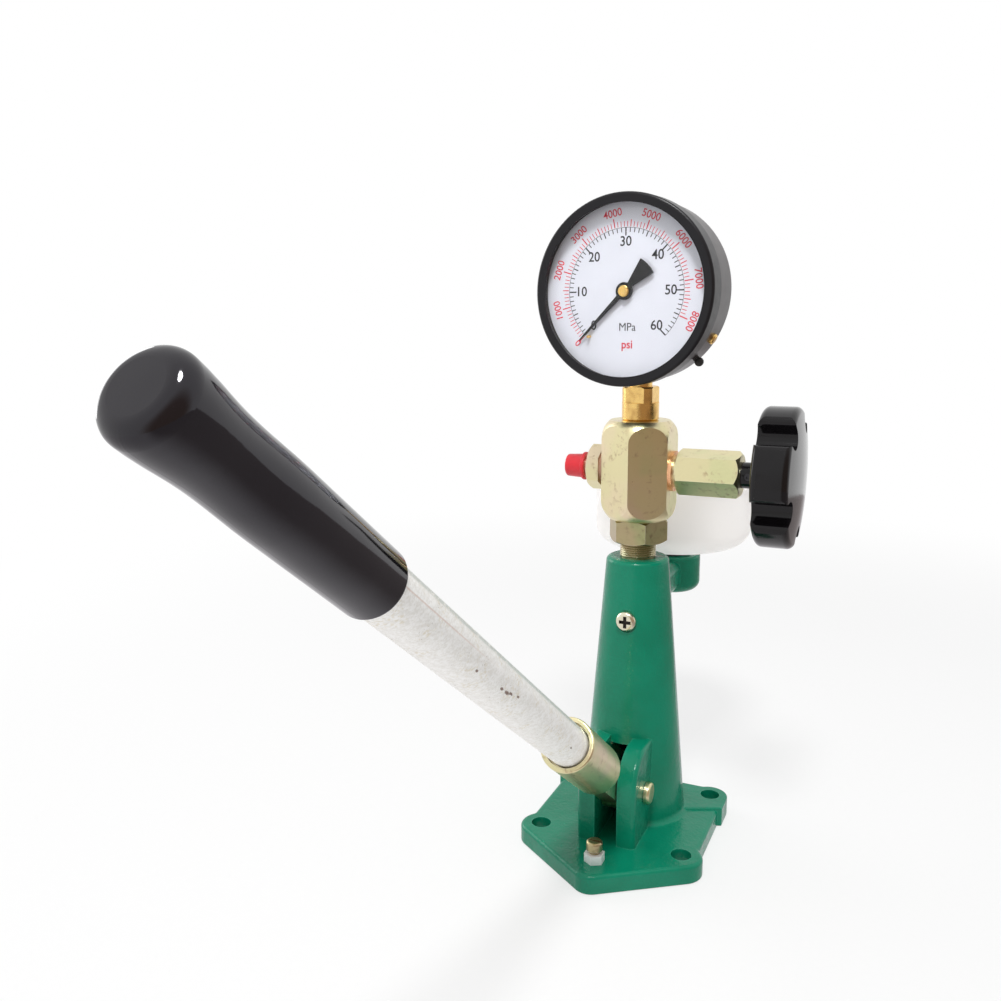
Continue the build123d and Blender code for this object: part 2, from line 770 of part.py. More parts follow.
# Valve block, turned at both ends and bored on four sides
with BuildPart() as valve_block:
    with BuildSketch(Plane.XY.offset(block_bottom)):
        RegularPolygon(block_half_flats, hexagon, major_radius=False, rotation=quarter_turn / 3)
    extrude(amount=block_top - block_bottom)
    with BuildSketch(Plane.XZ):
        block_corner = block_half_flats / cos(hexagon_half)
        lower_shoulder = block_bottom + block_turned_depth
        upper_shoulder = block_top - block_turned_depth
        with BuildLine():
            Polyline((block_corner, lower_shoulder), (block_corner, upper_shoulder))
            TangentArc((block_corner, upper_shoulder), (block_end_radius, block_top), tangent=(0, 1))
            Polyline((block_end_radius, block_top), (0, block_top), (0, block_bottom),
                     (block_end_radius, block_bottom))
            TangentArc((block_corner, lower_shoulder), (block_end_radius, block_bottom), tangent=(0, -1))
        make_face()
    revolve(axis=Axis.Z, mode=Mode.INTERSECT)
    with BuildSketch(Plane.XZ):
        bottom_bore = nipple_thread_radius
        Polygon((0, block_bottom - overrun), (bottom_bore, block_bottom - overrun),
                (bottom_bore, nipple_bore_top), (oil_bore_radius, nipple_bore_top),
                (oil_bore_radius, valve_z), (0, valve_z), align=None)
        Polygon((0, stem_bore_bottom), (stem_thread_radius + running_fit, stem_bore_bottom),
                (stem_thread_radius + running_fit, block_top + overrun), (0, block_top + overrun),
                align=None)
    revolve(axis=Axis.Z, mode=Mode.SUBTRACT)
    with BuildSketch(valve_section):
        outlet_bore = outlet_thread_radius + running_fit
        bonnet_bore = bonnet_thread_radius + running_fit
        Polygon((-block_half_flats - overrun, 0), (-block_half_flats - overrun, outlet_bore),
                (-outlet_thread_end + near_gap, outlet_bore),
                (-outlet_thread_end + near_gap, oil_bore_radius),
                (valve_seat_x, oil_bore_radius), (valve_seat_x, valve_chamber_radius),
                (bonnet_thread_start - near_gap, valve_chamber_radius),
                (bonnet_thread_start - near_gap, bonnet_bore), (block_half_flats + overrun, bonnet_bore),
                (block_half_flats + overrun, 0), align=None)
    revolve(axis=valve_axis, mode=Mode.SUBTRACT)
    slant_x = (valve_seat_x + bonnet_thread_start) * half
    slant_drop = valve_chamber_radius * half + valve_z - stem_bore_bottom
    slant = Vector(slant_x, 0, slant_drop)
    with BuildSketch(Plane(origin=(0, 0, stem_bore_bottom), z_dir=slant)):
        Circle(slant_bore_radius)
    extrude(amount=slant.length, mode=Mode.SUBTRACT)

# Outlet seal ring
with BuildPart() as outlet_seal:
    with BuildSketch(outlet_section):
        Polygon((block_half_flats, outlet_bore), (block_half_flats, outlet_seal_radius),
                (outlet_seal_end, outlet_seal_radius), (outlet_seal_end, outlet_bore), align=None)
    revolve(axis=valve_axis)

# Outlet fitting with its coned mouth
with BuildPart() as outlet_fitting:
    with BuildSketch(Plane.YZ.offset(-outlet_hex_end)):
        with Locations((0, valve_z)):
            RegularPolygon(outlet_flats * half, hexagon, major_radius=False, rotation=quarter_turn / 3)
    extrude(amount=outlet_hex_end - outlet_seal_end)
    with BuildSketch(outlet_section):
        outlet_corner = outlet_flats * half / cos(hexagon_half)
        outlet_slope = outlet_corner - outlet_flats * half
        Polygon((outlet_seal_end, 0), (outlet_seal_end, outlet_corner),
                (outlet_hex_end - outlet_slope * half, outlet_corner),
                (outlet_hex_end, outlet_flats * half), (outlet_hex_end, 0), align=None)
    revolve(axis=valve_axis, mode=Mode.INTERSECT)
    with BuildSketch(outlet_section) as outlet_turned:
        Polygon((outlet_thread_end, 0), (outlet_thread_end, outlet_thread_radius),
                (outlet_seal_end, outlet_thread_radius), (outlet_seal_end, 0), align=None)
        Polygon((outlet_hex_end, 0), (outlet_hex_end, outlet_spigot_radius),
                (outlet_spigot_end, outlet_spigot_radius), (outlet_spigot_end, 0), align=None)
    revolve(axis=valve_axis)
    with BuildSketch(outlet_section):
        Polygon((outlet_thread_end - overrun, 0), (outlet_thread_end - overrun, outlet_bore_radius),
                (outlet_spigot_end - outlet_cone_depth, outlet_bore_radius),
                (outlet_spigot_end, outlet_cone_radius), (outlet_spigot_end + overrun, outlet_cone_radius),
                (outlet_spigot_end + overrun, 0), align=None)
    revolve(axis=valve_axis, mode=Mode.SUBTRACT)

# Pull-off cap on the outlet
with BuildPart() as outlet_cap:
    with BuildSketch(outlet_section) as cap_half:
        cap_bore = outlet_spigot_radius + near_gap
        Polygon((cap_start, cap_bore), (cap_start, cap_lip_radius),
                (cap_start + cap_lip_length, cap_lip_radius), (cap_start + cap_lip_length, cap_skirt_radius),
                (cap_end, cap_end_radius), (cap_end, 0), (cap_inner_end, 0),
                (cap_inner_end, cap_bore), align=None)
        cap_corners = cap_half.vertices().filter_by(lambda v: v.Y > cap_bore + tiny)
        fillet(cap_corners.sort_by(Axis.X)[-1], cap_end_edge)
        fillet(cap_half.vertices().group_by(Axis.Y)[-1], cap_lip_edge)
    revolve(axis=valve_axis)

# Washer under the bonnet
with BuildPart() as bonnet_washer:
    with BuildSketch(valve_section):
        Polygon((block_half_flats, bonnet_bore), (block_half_flats, washer_radius),
                (washer_end, washer_radius), (washer_end, bonnet_bore), align=None)
    revolve(axis=valve_axis)

# Bonnet
with BuildPart() as bonnet:
    with BuildSketch(Plane.YZ.offset(bonnet_hex_start)):
        with Locations((0, valve_z)):
            RegularPolygon(bonnet_flats * half, hexagon, major_radius=False,
                           rotation=half_turn - bonnet_turn + quarter_turn / 3)
    extrude(amount=bonnet_hex_end - bonnet_hex_start)
    with BuildSketch(valve_section):
        bonnet_corner = bonnet_flats * half / cos(hexagon_half)
        bonnet_slope = bonnet_corner - bonnet_flats * half
        Polygon((bonnet_hex_start, 0), (bonnet_hex_start, bonnet_flats * half),
                (bonnet_hex_start + bonnet_slope * half, bonnet_corner),
                (bonnet_hex_end - bonnet_edge, bonnet_corner),
                (bonnet_hex_end, bonnet_corner - bonnet_edge), (bonnet_hex_end, 0), align=None)
    revolve(axis=valve_axis, mode=Mode.INTERSECT)
    with BuildSketch(valve_section):
        Polygon((bonnet_thread_start, 0), (bonnet_thread_start, bonnet_thread_radius),
                (washer_end, bonnet_thread_radius), (washer_end, bonnet_neck_radius),
                (bonnet_hex_start, bonnet_neck_radius), (bonnet_hex_start, 0), align=None)
    revolve(axis=valve_axis)
    with BuildSketch(valve_section):
        spindle_bore = spindle_radius + running_fit
        Polygon((bonnet_thread_start - overrun, 0), (bonnet_thread_start - overrun, needle_bore_radius),
                (needle_bore_end, needle_bore_radius), (needle_bore_end, spindle_bore),
                (bonnet_hex_end + overrun, spindle_bore), (bonnet_hex_end + overrun, 0), align=None)
    revolve(axis=valve_axis, mode=Mode.SUBTRACT)

# Valve needle, which slides without turning
with BuildPart() as valve_needle:
    with BuildSketch(valve_section):
        cone_end = needle_tip_x + needle_radius - needle_tip_radius
        Polygon((needle_tip_x, 0), (needle_tip_x, needle_tip_radius), (cone_end, needle_radius),
                (needle_end_x, needle_radius), (needle_end_x, 0), align=None)
    revolve(axis=valve_axis)

# Valve spindle, with a socket for the needle and a groove for its ring
with BuildPart() as valve_spindle:
    with BuildSketch(valve_section):
        needle_socket = needle_radius + running_fit
        groove_end = packing_groove_start + packing_groove_width
        Polygon((spindle_start, needle_socket), (spindle_start, spindle_radius),
                (packing_groove_start, spindle_radius), (packing_groove_start, packing_groove_radius),
                (groove_end, packing_groove_radius), (groove_end, spindle_radius),
                (spindle_end, spindle_radius), (spindle_end, 0), (spindle_socket_end, 0),
                (spindle_socket_end, needle_socket), align=None)
    revolve(axis=valve_axis)

# Packing ring on the spindle
with BuildPart() as spindle_packing:
    with BuildSketch(valve_section):
        with Locations((packing_groove_start + packing_groove_width * half, packing_centre_radius)):
            Circle(packing_ring_radius)
    revolve(axis=valve_axis)

# Star knob: five broad lobes between hollows, a domed front and a hub
with BuildPart() as star_knob:
    scallop_turn = half_turn - knob_turn + half_turn / lobe_count
    with BuildSketch(Plane.YZ.offset(knob_start)) as star_outline:
        with Locations((0, valve_z)):
            Circle(knob_radius)
            with PolarLocations(scallop_place, lobe_count, start_angle=scallop_turn):
                Circle(scallop_radius, mode=Mode.SUBTRACT)
        fillet(star_outline.vertices().filter_by(lambda v: v.X < knob_radius - tiny), lobe_corner)
    extrude(amount=knob_front - knob_start)
    with BuildSketch(valve_section) as knob_profile:
        with BuildLine():
            half_way = knob_front - knob_front_rise * knob_dome_share
            ThreePointArc((knob_front, 0), (half_way, knob_radius * half), (knob_rim_end, knob_radius))
            Polyline((knob_rim_end, knob_radius), (knob_rim_start, knob_radius),
                     (knob_start, knob_radius * knob_back_share), (knob_start, 0), (knob_front, 0))
        make_face()
        fillet(knob_profile.vertices().group_by(Axis.Y)[-1], knob_edge)
    revolve(axis=valve_axis, mode=Mode.INTERSECT)
    with BuildSketch(valve_section):
        Polygon((hub_start, 0), (hub_start, hub_radius), (knob_start, hub_radius), (knob_start, 0),
                align=None)
    revolve(axis=valve_axis)
    with BuildSketch(valve_section):
        Polygon((hub_start - overrun, 0), (hub_start - overrun, spindle_radius + running_fit),
                (knob_bore_end, spindle_radius + running_fit), (knob_bore_end, 0), align=None)
    revolve(axis=valve_axis, mode=Mode.SUBTRACT)
    with BuildSketch(Plane.XZ):
        with Locations((set_screw_x, valve_z)):
            Circle(set_screw_radius + running_fit)
    extrude(amount=hub_radius + overrun, mode=Mode.SUBTRACT)

# Set screw in the knob's hub
with BuildPart() as knob_set_screw:
    with BuildSketch(Plane.XZ.offset(spindle_radius + running_fit)):
        with Locations((set_screw_x, valve_z)):
            Circle(set_screw_radius)
    extrude(amount=hub_radius - set_screw_recess - spindle_radius)
    with BuildSketch(Plane.XZ.offset(hub_radius - set_screw_recess - set_screw_socket_depth)):
        with Locations((set_screw_x, valve_z)):
            RegularPolygon(set_screw_socket_radius, hexagon)
    extrude(amount=set_screw_socket_depth + overrun, mode=Mode.SUBTRACT)

# Gauge socket: thread, collar, spanner flats, neck and the block inside the case
with BuildPart() as gauge_socket:
    with BuildSketch(Plane.XZ) as socket_half:
        block_foot_z = gauge_z - stem_block_bottom
        Polygon((0, stem_thread_bottom), (stem_thread_radius, stem_thread_bottom),
                (stem_thread_radius, block_top), (stem_radius, block_top),
                (stem_radius, stem_flats_top), (0, stem_flats_top), align=None)
        chamfer(socket_half.vertices().group_by(Axis.X)[-1], stem_edge)
    revolve(axis=Axis.Z)
    with BuildSketch(stem_plane.offset(stem_collar_top)):
        Circle(stem_radius + overrun)
        Rectangle(stem_flats, stem_flats, mode=Mode.SUBTRACT)
    extrude(amount=stem_flats_top - stem_collar_top, mode=Mode.SUBTRACT)
    with BuildSketch(stem_plane.offset(stem_flats_top)):
        Circle(stem_neck_radius)
    extrude(amount=block_foot_z - stem_flats_top)
    with BuildSketch(stem_plane.offset(block_foot_z)):
        with Locations((0, -(stem_block_back + stem_block_front) * half)):
            Rectangle(2 * stem_block_half_width, stem_block_front - stem_block_back)
    extrude(amount=stem_block_height)
    with BuildSketch(Plane.XY.offset(stem_thread_bottom)):
        Circle(stem_bore_radius)
    extrude(amount=gauge_z - tube_radius - stem_thread_bottom, mode=Mode.SUBTRACT)

# Gauge case
with BuildPart() as gauge_case:
    with BuildSketch(gauge_section) as case_half:
        Polygon((case_back, 0), (case_back, case_radius), (case_step, case_radius),
                (case_step, case_step_radius), (case_rim, case_step_radius), (case_rim, case_inner),
                (case_back + case_back_wall, case_inner), (case_back + case_back_wall, 0), align=None)
        back_ring = case_half.vertices().filter_by(lambda v: v.Y > case_radius - tiny)
        fillet(back_ring.sort_by(Axis.X)[0], case_back_edge)
    revolve(axis=gauge_axis)
    with BuildSketch(Plane.XY.offset(gauge_z - case_radius - overrun)):
        Circle(stem_neck_radius + running_fit)
    extrude(amount=case_wall + 2 * overrun, mode=Mode.SUBTRACT)
    for hole_angle, hole_depth, hole_radius in (
            (case_screw_angle, case_screw_depth, case_screw_radius),
            (case_plug_angle, case_plug_depth, case_plug_radius)):
        hole_section = radial_section(hole_angle, hole_depth)
        with BuildSketch(hole_section):
            Polygon((case_inner - overrun, 0), (case_inner - overrun, hole_radius + running_fit),
                    (case_radius + overrun, hole_radius + running_fit), (case_radius + overrun, 0),
                    align=None)
        revolve(axis=Axis(hole_section.origin, hole_section.x_dir), mode=Mode.SUBTRACT)

# Screw in the side of the case
screw_hole_section = radial_section(case_screw_angle, case_screw_depth)
with BuildPart() as case_screw:
    with BuildSketch(screw_hole_section) as case_screw_half:
        Polygon((case_screw_inner, 0), (case_screw_inner, case_screw_radius),
                (case_radius, case_screw_radius), (case_radius, case_screw_head_radius),
                (case_radius + case_screw_head_height, case_screw_head_radius),
                (case_radius + case_screw_head_height, 0), align=None)
        screw_top = case_screw_half.vertices().group_by(Axis.X)[-1]
        fillet(screw_top.sort_by(Axis.Y)[-1], case_screw_edge)
    revolve(axis=Axis(screw_hole_section.origin, screw_hole_section.x_dir))

# Rubber plug in the side of the case, with a ball to pull it by
plug_hole_section = radial_section(case_plug_angle, case_plug_depth)
with BuildPart() as case_plug:
    ball_place = case_radius + case_plug_ball_place
    with BuildSketch(plug_hole_section):
        Polygon((case_plug_inner, 0), (case_plug_inner, case_plug_radius),
                (ball_place, case_plug_radius), (ball_place, 0), align=None)
    revolve(axis=Axis(plug_hole_section.origin, plug_hole_section.x_dir))
    with Locations(plug_hole_section.from_local_coords((ball_place, 0, 0))):
        Sphere(case_plug_ball_radius)

# Bezel
with BuildPart() as gauge_bezel:
    with BuildSketch(gauge_section) as bezel_half:
        bezel_inner = case_step_radius + running_fit
        Polygon((case_step, bezel_inner), (case_step, case_radius + running_fit),
                (bezel_start, case_radius + running_fit), (bezel_start, bezel_radius),
                (bezel_front, bezel_radius), (bezel_front, window_radius),
                (lens_front, window_radius), (lens_front, bezel_inner), align=None)
        bezel_ring = bezel_half.vertices().filter_by(lambda v: v.Y > bezel_radius - tiny)
        fillet(bezel_ring.sort_by(Axis.X)[-1], bezel_edge)
    revolve(axis=gauge_axis)

# Window of the gauge
with BuildPart() as gauge_lens:
    with BuildSketch(dial_plane.offset(lens_back)):
        Circle(lens_radius)
    extrude(amount=lens_front - lens_back)

# Gasket between window and case
with BuildPart() as lens_gasket:
    with BuildSketch(dial_plane.offset(case_rim)):
        Circle(lens_radius)
        Circle(gasket_inner_radius, mode=Mode.SUBTRACT)
    extrude(amount=lens_back - case_rim)

# Dial
with BuildPart() as dial_plate:
    with BuildSketch(dial_plane.offset(dial_back)):
        Circle(dial_radius)
        Circle(dial_hole_radius, mode=Mode.SUBTRACT)
    extrude(amount=dial_front - dial_back)

# Pin that the pointer rests against
stop_pin_room = stop_pin_radius + pointer_root_width * half + near_gap
stop_pin_angle = pointer_rest_angle - degrees(asin(stop_pin_room / stop_pin_place))
with BuildPart() as pointer_stop_pin:
    with BuildSketch(dial_plane.offset(dial_front)):
        with Locations(on_dial(stop_pin_place, stop_pin_angle)):
            Circle(stop_pin_radius)
    extrude(amount=stop_pin_front - dial_front)

# Pointer with its tapered arm and a tail that fans out from the hub
with BuildPart() as gauge_pointer:
    tail_angle = pointer_rest_angle + half_turn
    with BuildSketch(dial_plane.offset(pointer_back)):
        Polygon(beside(0, -pointer_root_width * half, pointer_rest_angle),
                beside(pointer_tip_reach, -pointer_tip_width * half, pointer_rest_angle),
                beside(pointer_tip_reach, pointer_tip_width * half, pointer_rest_angle),
                beside(0, pointer_root_width * half, pointer_rest_angle), align=None)
        with BuildLine():
            fan_low = tail_angle - fan_half_angle
            fan_high = tail_angle + fan_half_angle
            ThreePointArc(on_dial(fan_radius, fan_low), on_dial(fan_radius, tail_angle),
                          on_dial(fan_radius, fan_high))
            Polyline(on_dial(fan_radius, fan_high), beside(0, fan_root_width * half, tail_angle),
                     beside(0, -fan_root_width * half, tail_angle), on_dial(fan_radius, fan_low))
        make_face()
    extrude(amount=pointer_front - pointer_back)
    with BuildSketch(dial_plane.offset(pointer_hub_back)):
        Circle(pointer_hub_radius)
    extrude(amount=pointer_front - pointer_hub_back)
    with BuildSketch(dial_plane.offset(pointer_hub_back)):
        Circle(arbor_radius)
    extrude(amount=pointer_front - pointer_hub_back, mode=Mode.SUBTRACT)

# Brass cap on the pointer
with BuildPart() as pointer_cap:
    with BuildSketch(dial_plane.offset(pointer_front)):
        Circle(pointer_cap_radius)
    extrude(amount=pointer_cap_front - pointer_front)
    fillet(pointer_cap.edges().group_by(Axis.Y)[0], pointer_cap_edge)

# Arbor with its pinion
with BuildPart() as pointer_arbor:
    with BuildSketch(dial_plane.offset(arbor_back + near_gap)):
        Circle(arbor_radius)
    extrude(amount=pointer_front - arbor_back - near_gap)
    with BuildSketch(dial_plane.offset(pinion_back)):
        Circle(pinion_radius)
    extrude(amount=pinion_front - pinion_back)

# Toothed sector's plate, tail and staff
with BuildPart() as gear_sector:
    sector_plane = Plane(origin=gauge_point - Vector(0, 0, sector_pivot_drop),
                         x_dir=gauge_right, z_dir=gauge_front)
    with BuildSketch(sector_plane.offset(sector_back)):
        Circle(sector_hub_radius)
        with BuildLine():
            sector_middle = (sector_first_angle + sector_last_angle) * half
            ThreePointArc(on_dial(sector_rim_radius, sector_first_angle),
                          on_dial(sector_rim_radius, sector_middle),
                          on_dial(sector_rim_radius, sector_last_angle))
            Line(on_dial(sector_rim_radius, sector_last_angle), (0, 0))
            Line((0, 0), on_dial(sector_rim_radius, sector_first_angle))
        make_face()
        tail_side = sector_tail_width * half
        tail_tip = sector_tail_reach + tail_side
        Polygon(beside(0, -tail_side, sector_tail_angle), beside(tail_tip, -tail_side, sector_tail_angle),
                beside(tail_tip, tail_side, sector_tail_angle), beside(0, tail_side, sector_tail_angle),
                align=None)
    extrude(amount=sector_front - sector_back)
    with BuildSketch(sector_plane.offset(frame_back + near_gap)):
        Circle(sector_staff_radius)
    extrude(amount=frame_front - frame_back - 2 * near_gap)
    with BuildSketch(sector_plane.offset(sector_front)):
        Circle(sector_hub_radius)
    extrude(amount=sector_hub_front - sector_front)
    with BuildSketch(sector_plane.offset(link_pin_back)):
        with Locations(on_dial(sector_tail_reach, sector_tail_angle)):
            Circle(link_pin_radius)
    extrude(amount=sector_back - link_pin_back)

# Link from the sector's tail to the tube's end
tail_across, tail_up = on_dial(sector_tail_reach, sector_tail_angle)
tail_up = tail_up - sector_pivot_drop
tip_across, tip_up = on_dial(tube_radius, tube_last_angle)
with BuildPart() as movement_link:
    with BuildSketch(dial_plane.offset(link_back)):
        with Locations((tail_across, tail_up)):
            Circle(link_width * half)
        with Locations((tip_across, tip_up)):
            Circle(link_width * half)
        make_hull()
        with Locations((tail_across, tail_up), (tip_across, tip_up)):
            Circle(link_hole_radius, mode=Mode.SUBTRACT)
    extrude(amount=link_front - link_back)

# Bourdon tube with a tab at its free end
with BuildPart() as bourdon_tube:
    with BuildSketch(axial_section(tube_first_angle)):
        with Locations(((tube_back + tube_front) * half, tube_radius)):
            RectangleRounded(tube_front - tube_back, tube_thickness, tube_edge)
    tube_turn = tube_last_angle + full_turn - tube_first_angle
    revolve(axis=gauge_axis, revolution_arc=-tube_turn)
    with BuildSketch(dial_plane.offset(tube_front - tube_edge)):
        with Locations(on_dial(tube_radius, tube_last_angle)):
            Circle(tube_thickness * half)
    extrude(amount=tip_tab_front - tube_front + tube_edge)

# Movement frame: two plates, their pillars and the posts that carry the dial
with BuildPart() as movement_frame:
    plate_middle = (frame_top - frame_bottom) * half
    plate_height = frame_top + frame_bottom
    for plate_back in (frame_back, frame_front - frame_plate):
        with BuildSketch(dial_plane.offset(plate_back)):
            with Locations((0, plate_middle)):
                Rectangle(2 * frame_half_width, plate_height)
            Circle(arbor_radius + running_fit, mode=Mode.SUBTRACT)
            with Locations((0, -sector_pivot_drop)):
                Circle(sector_staff_radius + running_fit, mode=Mode.SUBTRACT)
        extrude(amount=frame_plate)
    pillar_places = ((-pillar_x, pillar_top), (pillar_x, pillar_top), (-pillar_x, -pillar_bottom))
    with BuildSketch(dial_plane.offset(frame_back)):
        with Locations(*pillar_places):
            Circle(pillar_radius)
    extrude(amount=dial_back - frame_back)

# Oil cup
with BuildPart() as oil_cup:
    with BuildSketch(cup_section) as cup_half:
        cup_floor = cup_bottom_z + cup_wall
        foot_z = boss_top + seal_thickness
        cup_inner = cup_radius - cup_wall
        Polygon((cup_washer_bore, foot_z), (cup_foot_radius, foot_z), (cup_foot_radius, cup_bottom_z),
                (cup_radius, cup_bottom_z), (cup_radius, cup_top_z), (cup_inner, cup_top_z),
                (cup_inner, cup_floor), (cup_washer_bore, cup_floor), align=None)
        outer_corner = cup_half.vertices().filter_by(
            lambda v: v.X > cup_radius - tiny and abs(v.Y - cup_bottom_z) < tiny)
        fillet(outer_corner, cup_corner)
        inner_corner = cup_half.vertices().filter_by(
            lambda v: abs(v.X - cup_inner) < tiny and abs(v.Y - cup_floor) < tiny)
        fillet(inner_corner, cup_corner - cup_wall)
    revolve(axis=cup_axis)

# Washers below and above the cup's floor
with BuildPart() as cup_washers:
    for washer_z in (boss_top, cup_floor):
        with BuildSketch(Plane.XY.offset(washer_z)):
            with Locations((0, cup_y)):
                Circle(cup_washer_radius)
                Circle(cup_washer_bore, mode=Mode.SUBTRACT)
        extrude(amount=seal_thickness)

# Hollow bolt that holds the cup and lets the oil down
with BuildPart() as cup_bolt:
    bolt_head_z = cup_floor + seal_thickness
    with BuildSketch(Plane.XY.offset(cup_bolt_bottom)):
        with Locations((0, cup_y)):
            Circle(cup_bolt_radius)
    extrude(amount=bolt_head_z - cup_bolt_bottom)
    with BuildSketch(Plane.XY.offset(bolt_head_z)):
        with Locations((0, cup_y)):
            RegularPolygon(cup_bolt_flats * half, hexagon, major_radius=False)
    extrude(amount=cup_bolt_head)
    with Locations((0, cup_y, bolt_head_z + cup_bolt_head)):
        Hole(cup_bolt_bore, depth=bolt_head_z + cup_bolt_head - cup_bolt_bottom)

# Lid of the cup
with BuildPart() as cup_lid:
    with BuildSketch(cup_section) as lid_half:
        skirt_radius = cup_inner - near_gap
        lid_top = cup_top_z + lid_thickness
        skirt_bottom = cup_top_z - lid_skirt_depth
        Polygon((0, cup_top_z), (skirt_radius - lid_skirt_wall, cup_top_z),
                (skirt_radius - lid_skirt_wall, skirt_bottom), (skirt_radius, skirt_bottom),
                (skirt_radius, cup_top_z), (cup_radius + lid_overhang, cup_top_z),
                (cup_radius + lid_overhang, lid_top), (lid_knob_radius, lid_top),
                (lid_knob_radius, lid_top + lid_knob_height), (0, lid_top + lid_knob_height), align=None)
        knob_corner = lid_half.vertices().group_by(Axis.Y)[-1].sort_by(Axis.X)[-1]
        fillet(knob_corner, lid_knob_edge)
        fillet(lid_half.vertices().group_by(Axis.X)[-1].sort_by(Axis.Y)[-1], lid_edge)
    revolve(axis=cup_axis)

# Plug that closes the drilled oil passage at the arm's end
with BuildPart() as passage_plug:
    plug_outer = cup_y + boss_radius - plug_recess
    plug_inner = cup_y + boss_radius - plug_depth
    with BuildSketch(Plane.XZ.offset(-plug_inner)):
        with Locations((0, passage_z)):
            Circle(plug_radius)
    extrude(amount=plug_inner - plug_outer)
    with BuildSketch(Plane.XZ.offset(-(plug_outer - plug_socket_depth))):
        with Locations((0, passage_z)):
            RegularPolygon(plug_socket_radius, hexagon)
    extrude(amount=-(plug_socket_depth + overrun), mode=Mode.SUBTRACT)

# Lever heel: the bar from the socket through the pivot to the nose
with BuildPart() as lever_heel:
    heel_turn = radians(lever_angle + heel_rest_angle)
    nose_along = -heel_length * cos(heel_turn)
    nose_across = -heel_length * sin(heel_turn)
    end_along = nose_along - heel_end_drop * sin(heel_turn)
    end_across = nose_across + heel_end_drop * cos(heel_turn)
    with BuildSketch(lever_side.offset(-heel_thickness * half)):
        Circle(heel_hub_radius)
        with Locations((end_along, end_across)):
            Circle(heel_end_radius)
        make_hull()
        with Locations((nose_along, nose_across)):
            Circle(nose_radius)
        with Locations((socket_floor * half, 0)):
            Rectangle(socket_floor, lug_height)
        Circle(pin_radius + running_fit, mode=Mode.SUBTRACT)
    extrude(amount=heel_thickness)

# Lever socket, slotted for the heel and bored for the pipe
with BuildPart() as lever_socket:
    with BuildSketch(lever_side) as socket_profile:
        Polygon((socket_start, 0), (socket_start, socket_radius), (socket_end, socket_radius),
                (socket_end, socket_mouth_radius), (socket_end - socket_mouth_depth, socket_mouth_radius),
                (socket_end - socket_mouth_depth, pipe_radius + running_fit),
                (socket_floor, pipe_radius + running_fit), (socket_floor, 0), align=None)
        outer_ring = socket_profile.vertices().filter_by(lambda v: v.Y > socket_radius - tiny)
        fillet(outer_ring.sort_by(Axis.X)[0], socket_inner_edge)
        outer_ring = socket_profile.vertices().filter_by(lambda v: v.Y > socket_radius - tiny)
        fillet(outer_ring.sort_by(Axis.X)[-1], socket_mouth_edge)
    revolve(axis=lever_axis)
    with BuildSketch(lever_side.offset(-heel_thickness * half)):
        with Locations((socket_floor * half, 0)):
            Rectangle(socket_floor, lug_height)
    extrude(amount=heel_thickness, mode=Mode.SUBTRACT)

# Lever pipe
with BuildPart() as lever_pipe:
    with BuildSketch(lever_side):
        Polygon((socket_floor, pipe_radius - pipe_wall), (socket_floor, pipe_radius),
                (grip_end - grip_floor, pipe_radius), (grip_end - grip_floor, pipe_radius - pipe_wall),
                align=None)
    revolve(axis=lever_axis)

# Dipped grip
with BuildPart() as lever_grip:
    with BuildSketch(lever_side) as grip_profile:
        grip_length = grip_end - grip_start
        grip_bore = pipe_radius + running_fit
        with BuildLine():
            neck_place = grip_start + grip_length * grip_neck_share
            bulge_place = grip_end - grip_dome_length
            Polyline((grip_start, grip_bore), (grip_start, grip_radius),
                     (grip_start + grip_length * half, grip_radius))
            Spline((grip_start + grip_length * half, grip_radius), (neck_place, grip_neck_radius),
                   (bulge_place, grip_bulge_radius), tangents=((1, 0), (1, 0)))
            Polyline((bulge_place, grip_bulge_radius), (grip_end, grip_bulge_radius), (grip_end, 0),
                     (grip_end - grip_floor, 0), (grip_end - grip_floor, grip_bore), (grip_start, grip_bore))
        make_face()
        grip_corners = grip_profile.vertices().filter_by(lambda v: v.Y > grip_bore + tiny)
        fillet(grip_corners.sort_by(Axis.X)[0], grip_inner_edge)
        grip_corners = grip_profile.vertices().filter_by(lambda v: v.Y > grip_bore + tiny)
        fillet(grip_corners.sort_by(Axis.X)[-1], grip_outer_edge)
    revolve(axis=lever_axis)

# Pivot pin, cross-drilled for the split pin
with BuildPart() as pivot_pin:
    with BuildSketch(pivot_section) as pin_half:
        head_start = ear_outer_x + near_gap
        Polygon((-pin_left_end, 0), (-pin_left_end, pin_radius), (head_start, pin_radius),
                (head_start, pin_head_radius), (head_start + pin_head_thickness, pin_head_radius),
                (head_start + pin_head_thickness, 0), align=None)
        chamfer(pin_half.vertices().group_by(Axis.X)[0].sort_by(Axis.Y)[-1], pin_point_edge)
        fillet(pin_half.vertices().group_by(Axis.X)[-1].sort_by(Axis.Y)[-1], pin_head_edge)
    revolve(axis=pivot_axis)
    with Locations((-split_pin_place, pivot_y, pivot_z + pin_radius)):
        Hole(split_hole_radius, depth=2 * pin_radius)

# Washer on the pin
with BuildPart() as pin_washer:
    with BuildSketch(Plane.YZ.offset(-ear_outer_x - pin_washer_thickness - near_gap)):
        with Locations((pivot_y, pivot_z)):
            Circle(pin_washer_radius)
            Circle(pin_radius + running_fit, mode=Mode.SUBTRACT)
    extrude(amount=pin_washer_thickness)

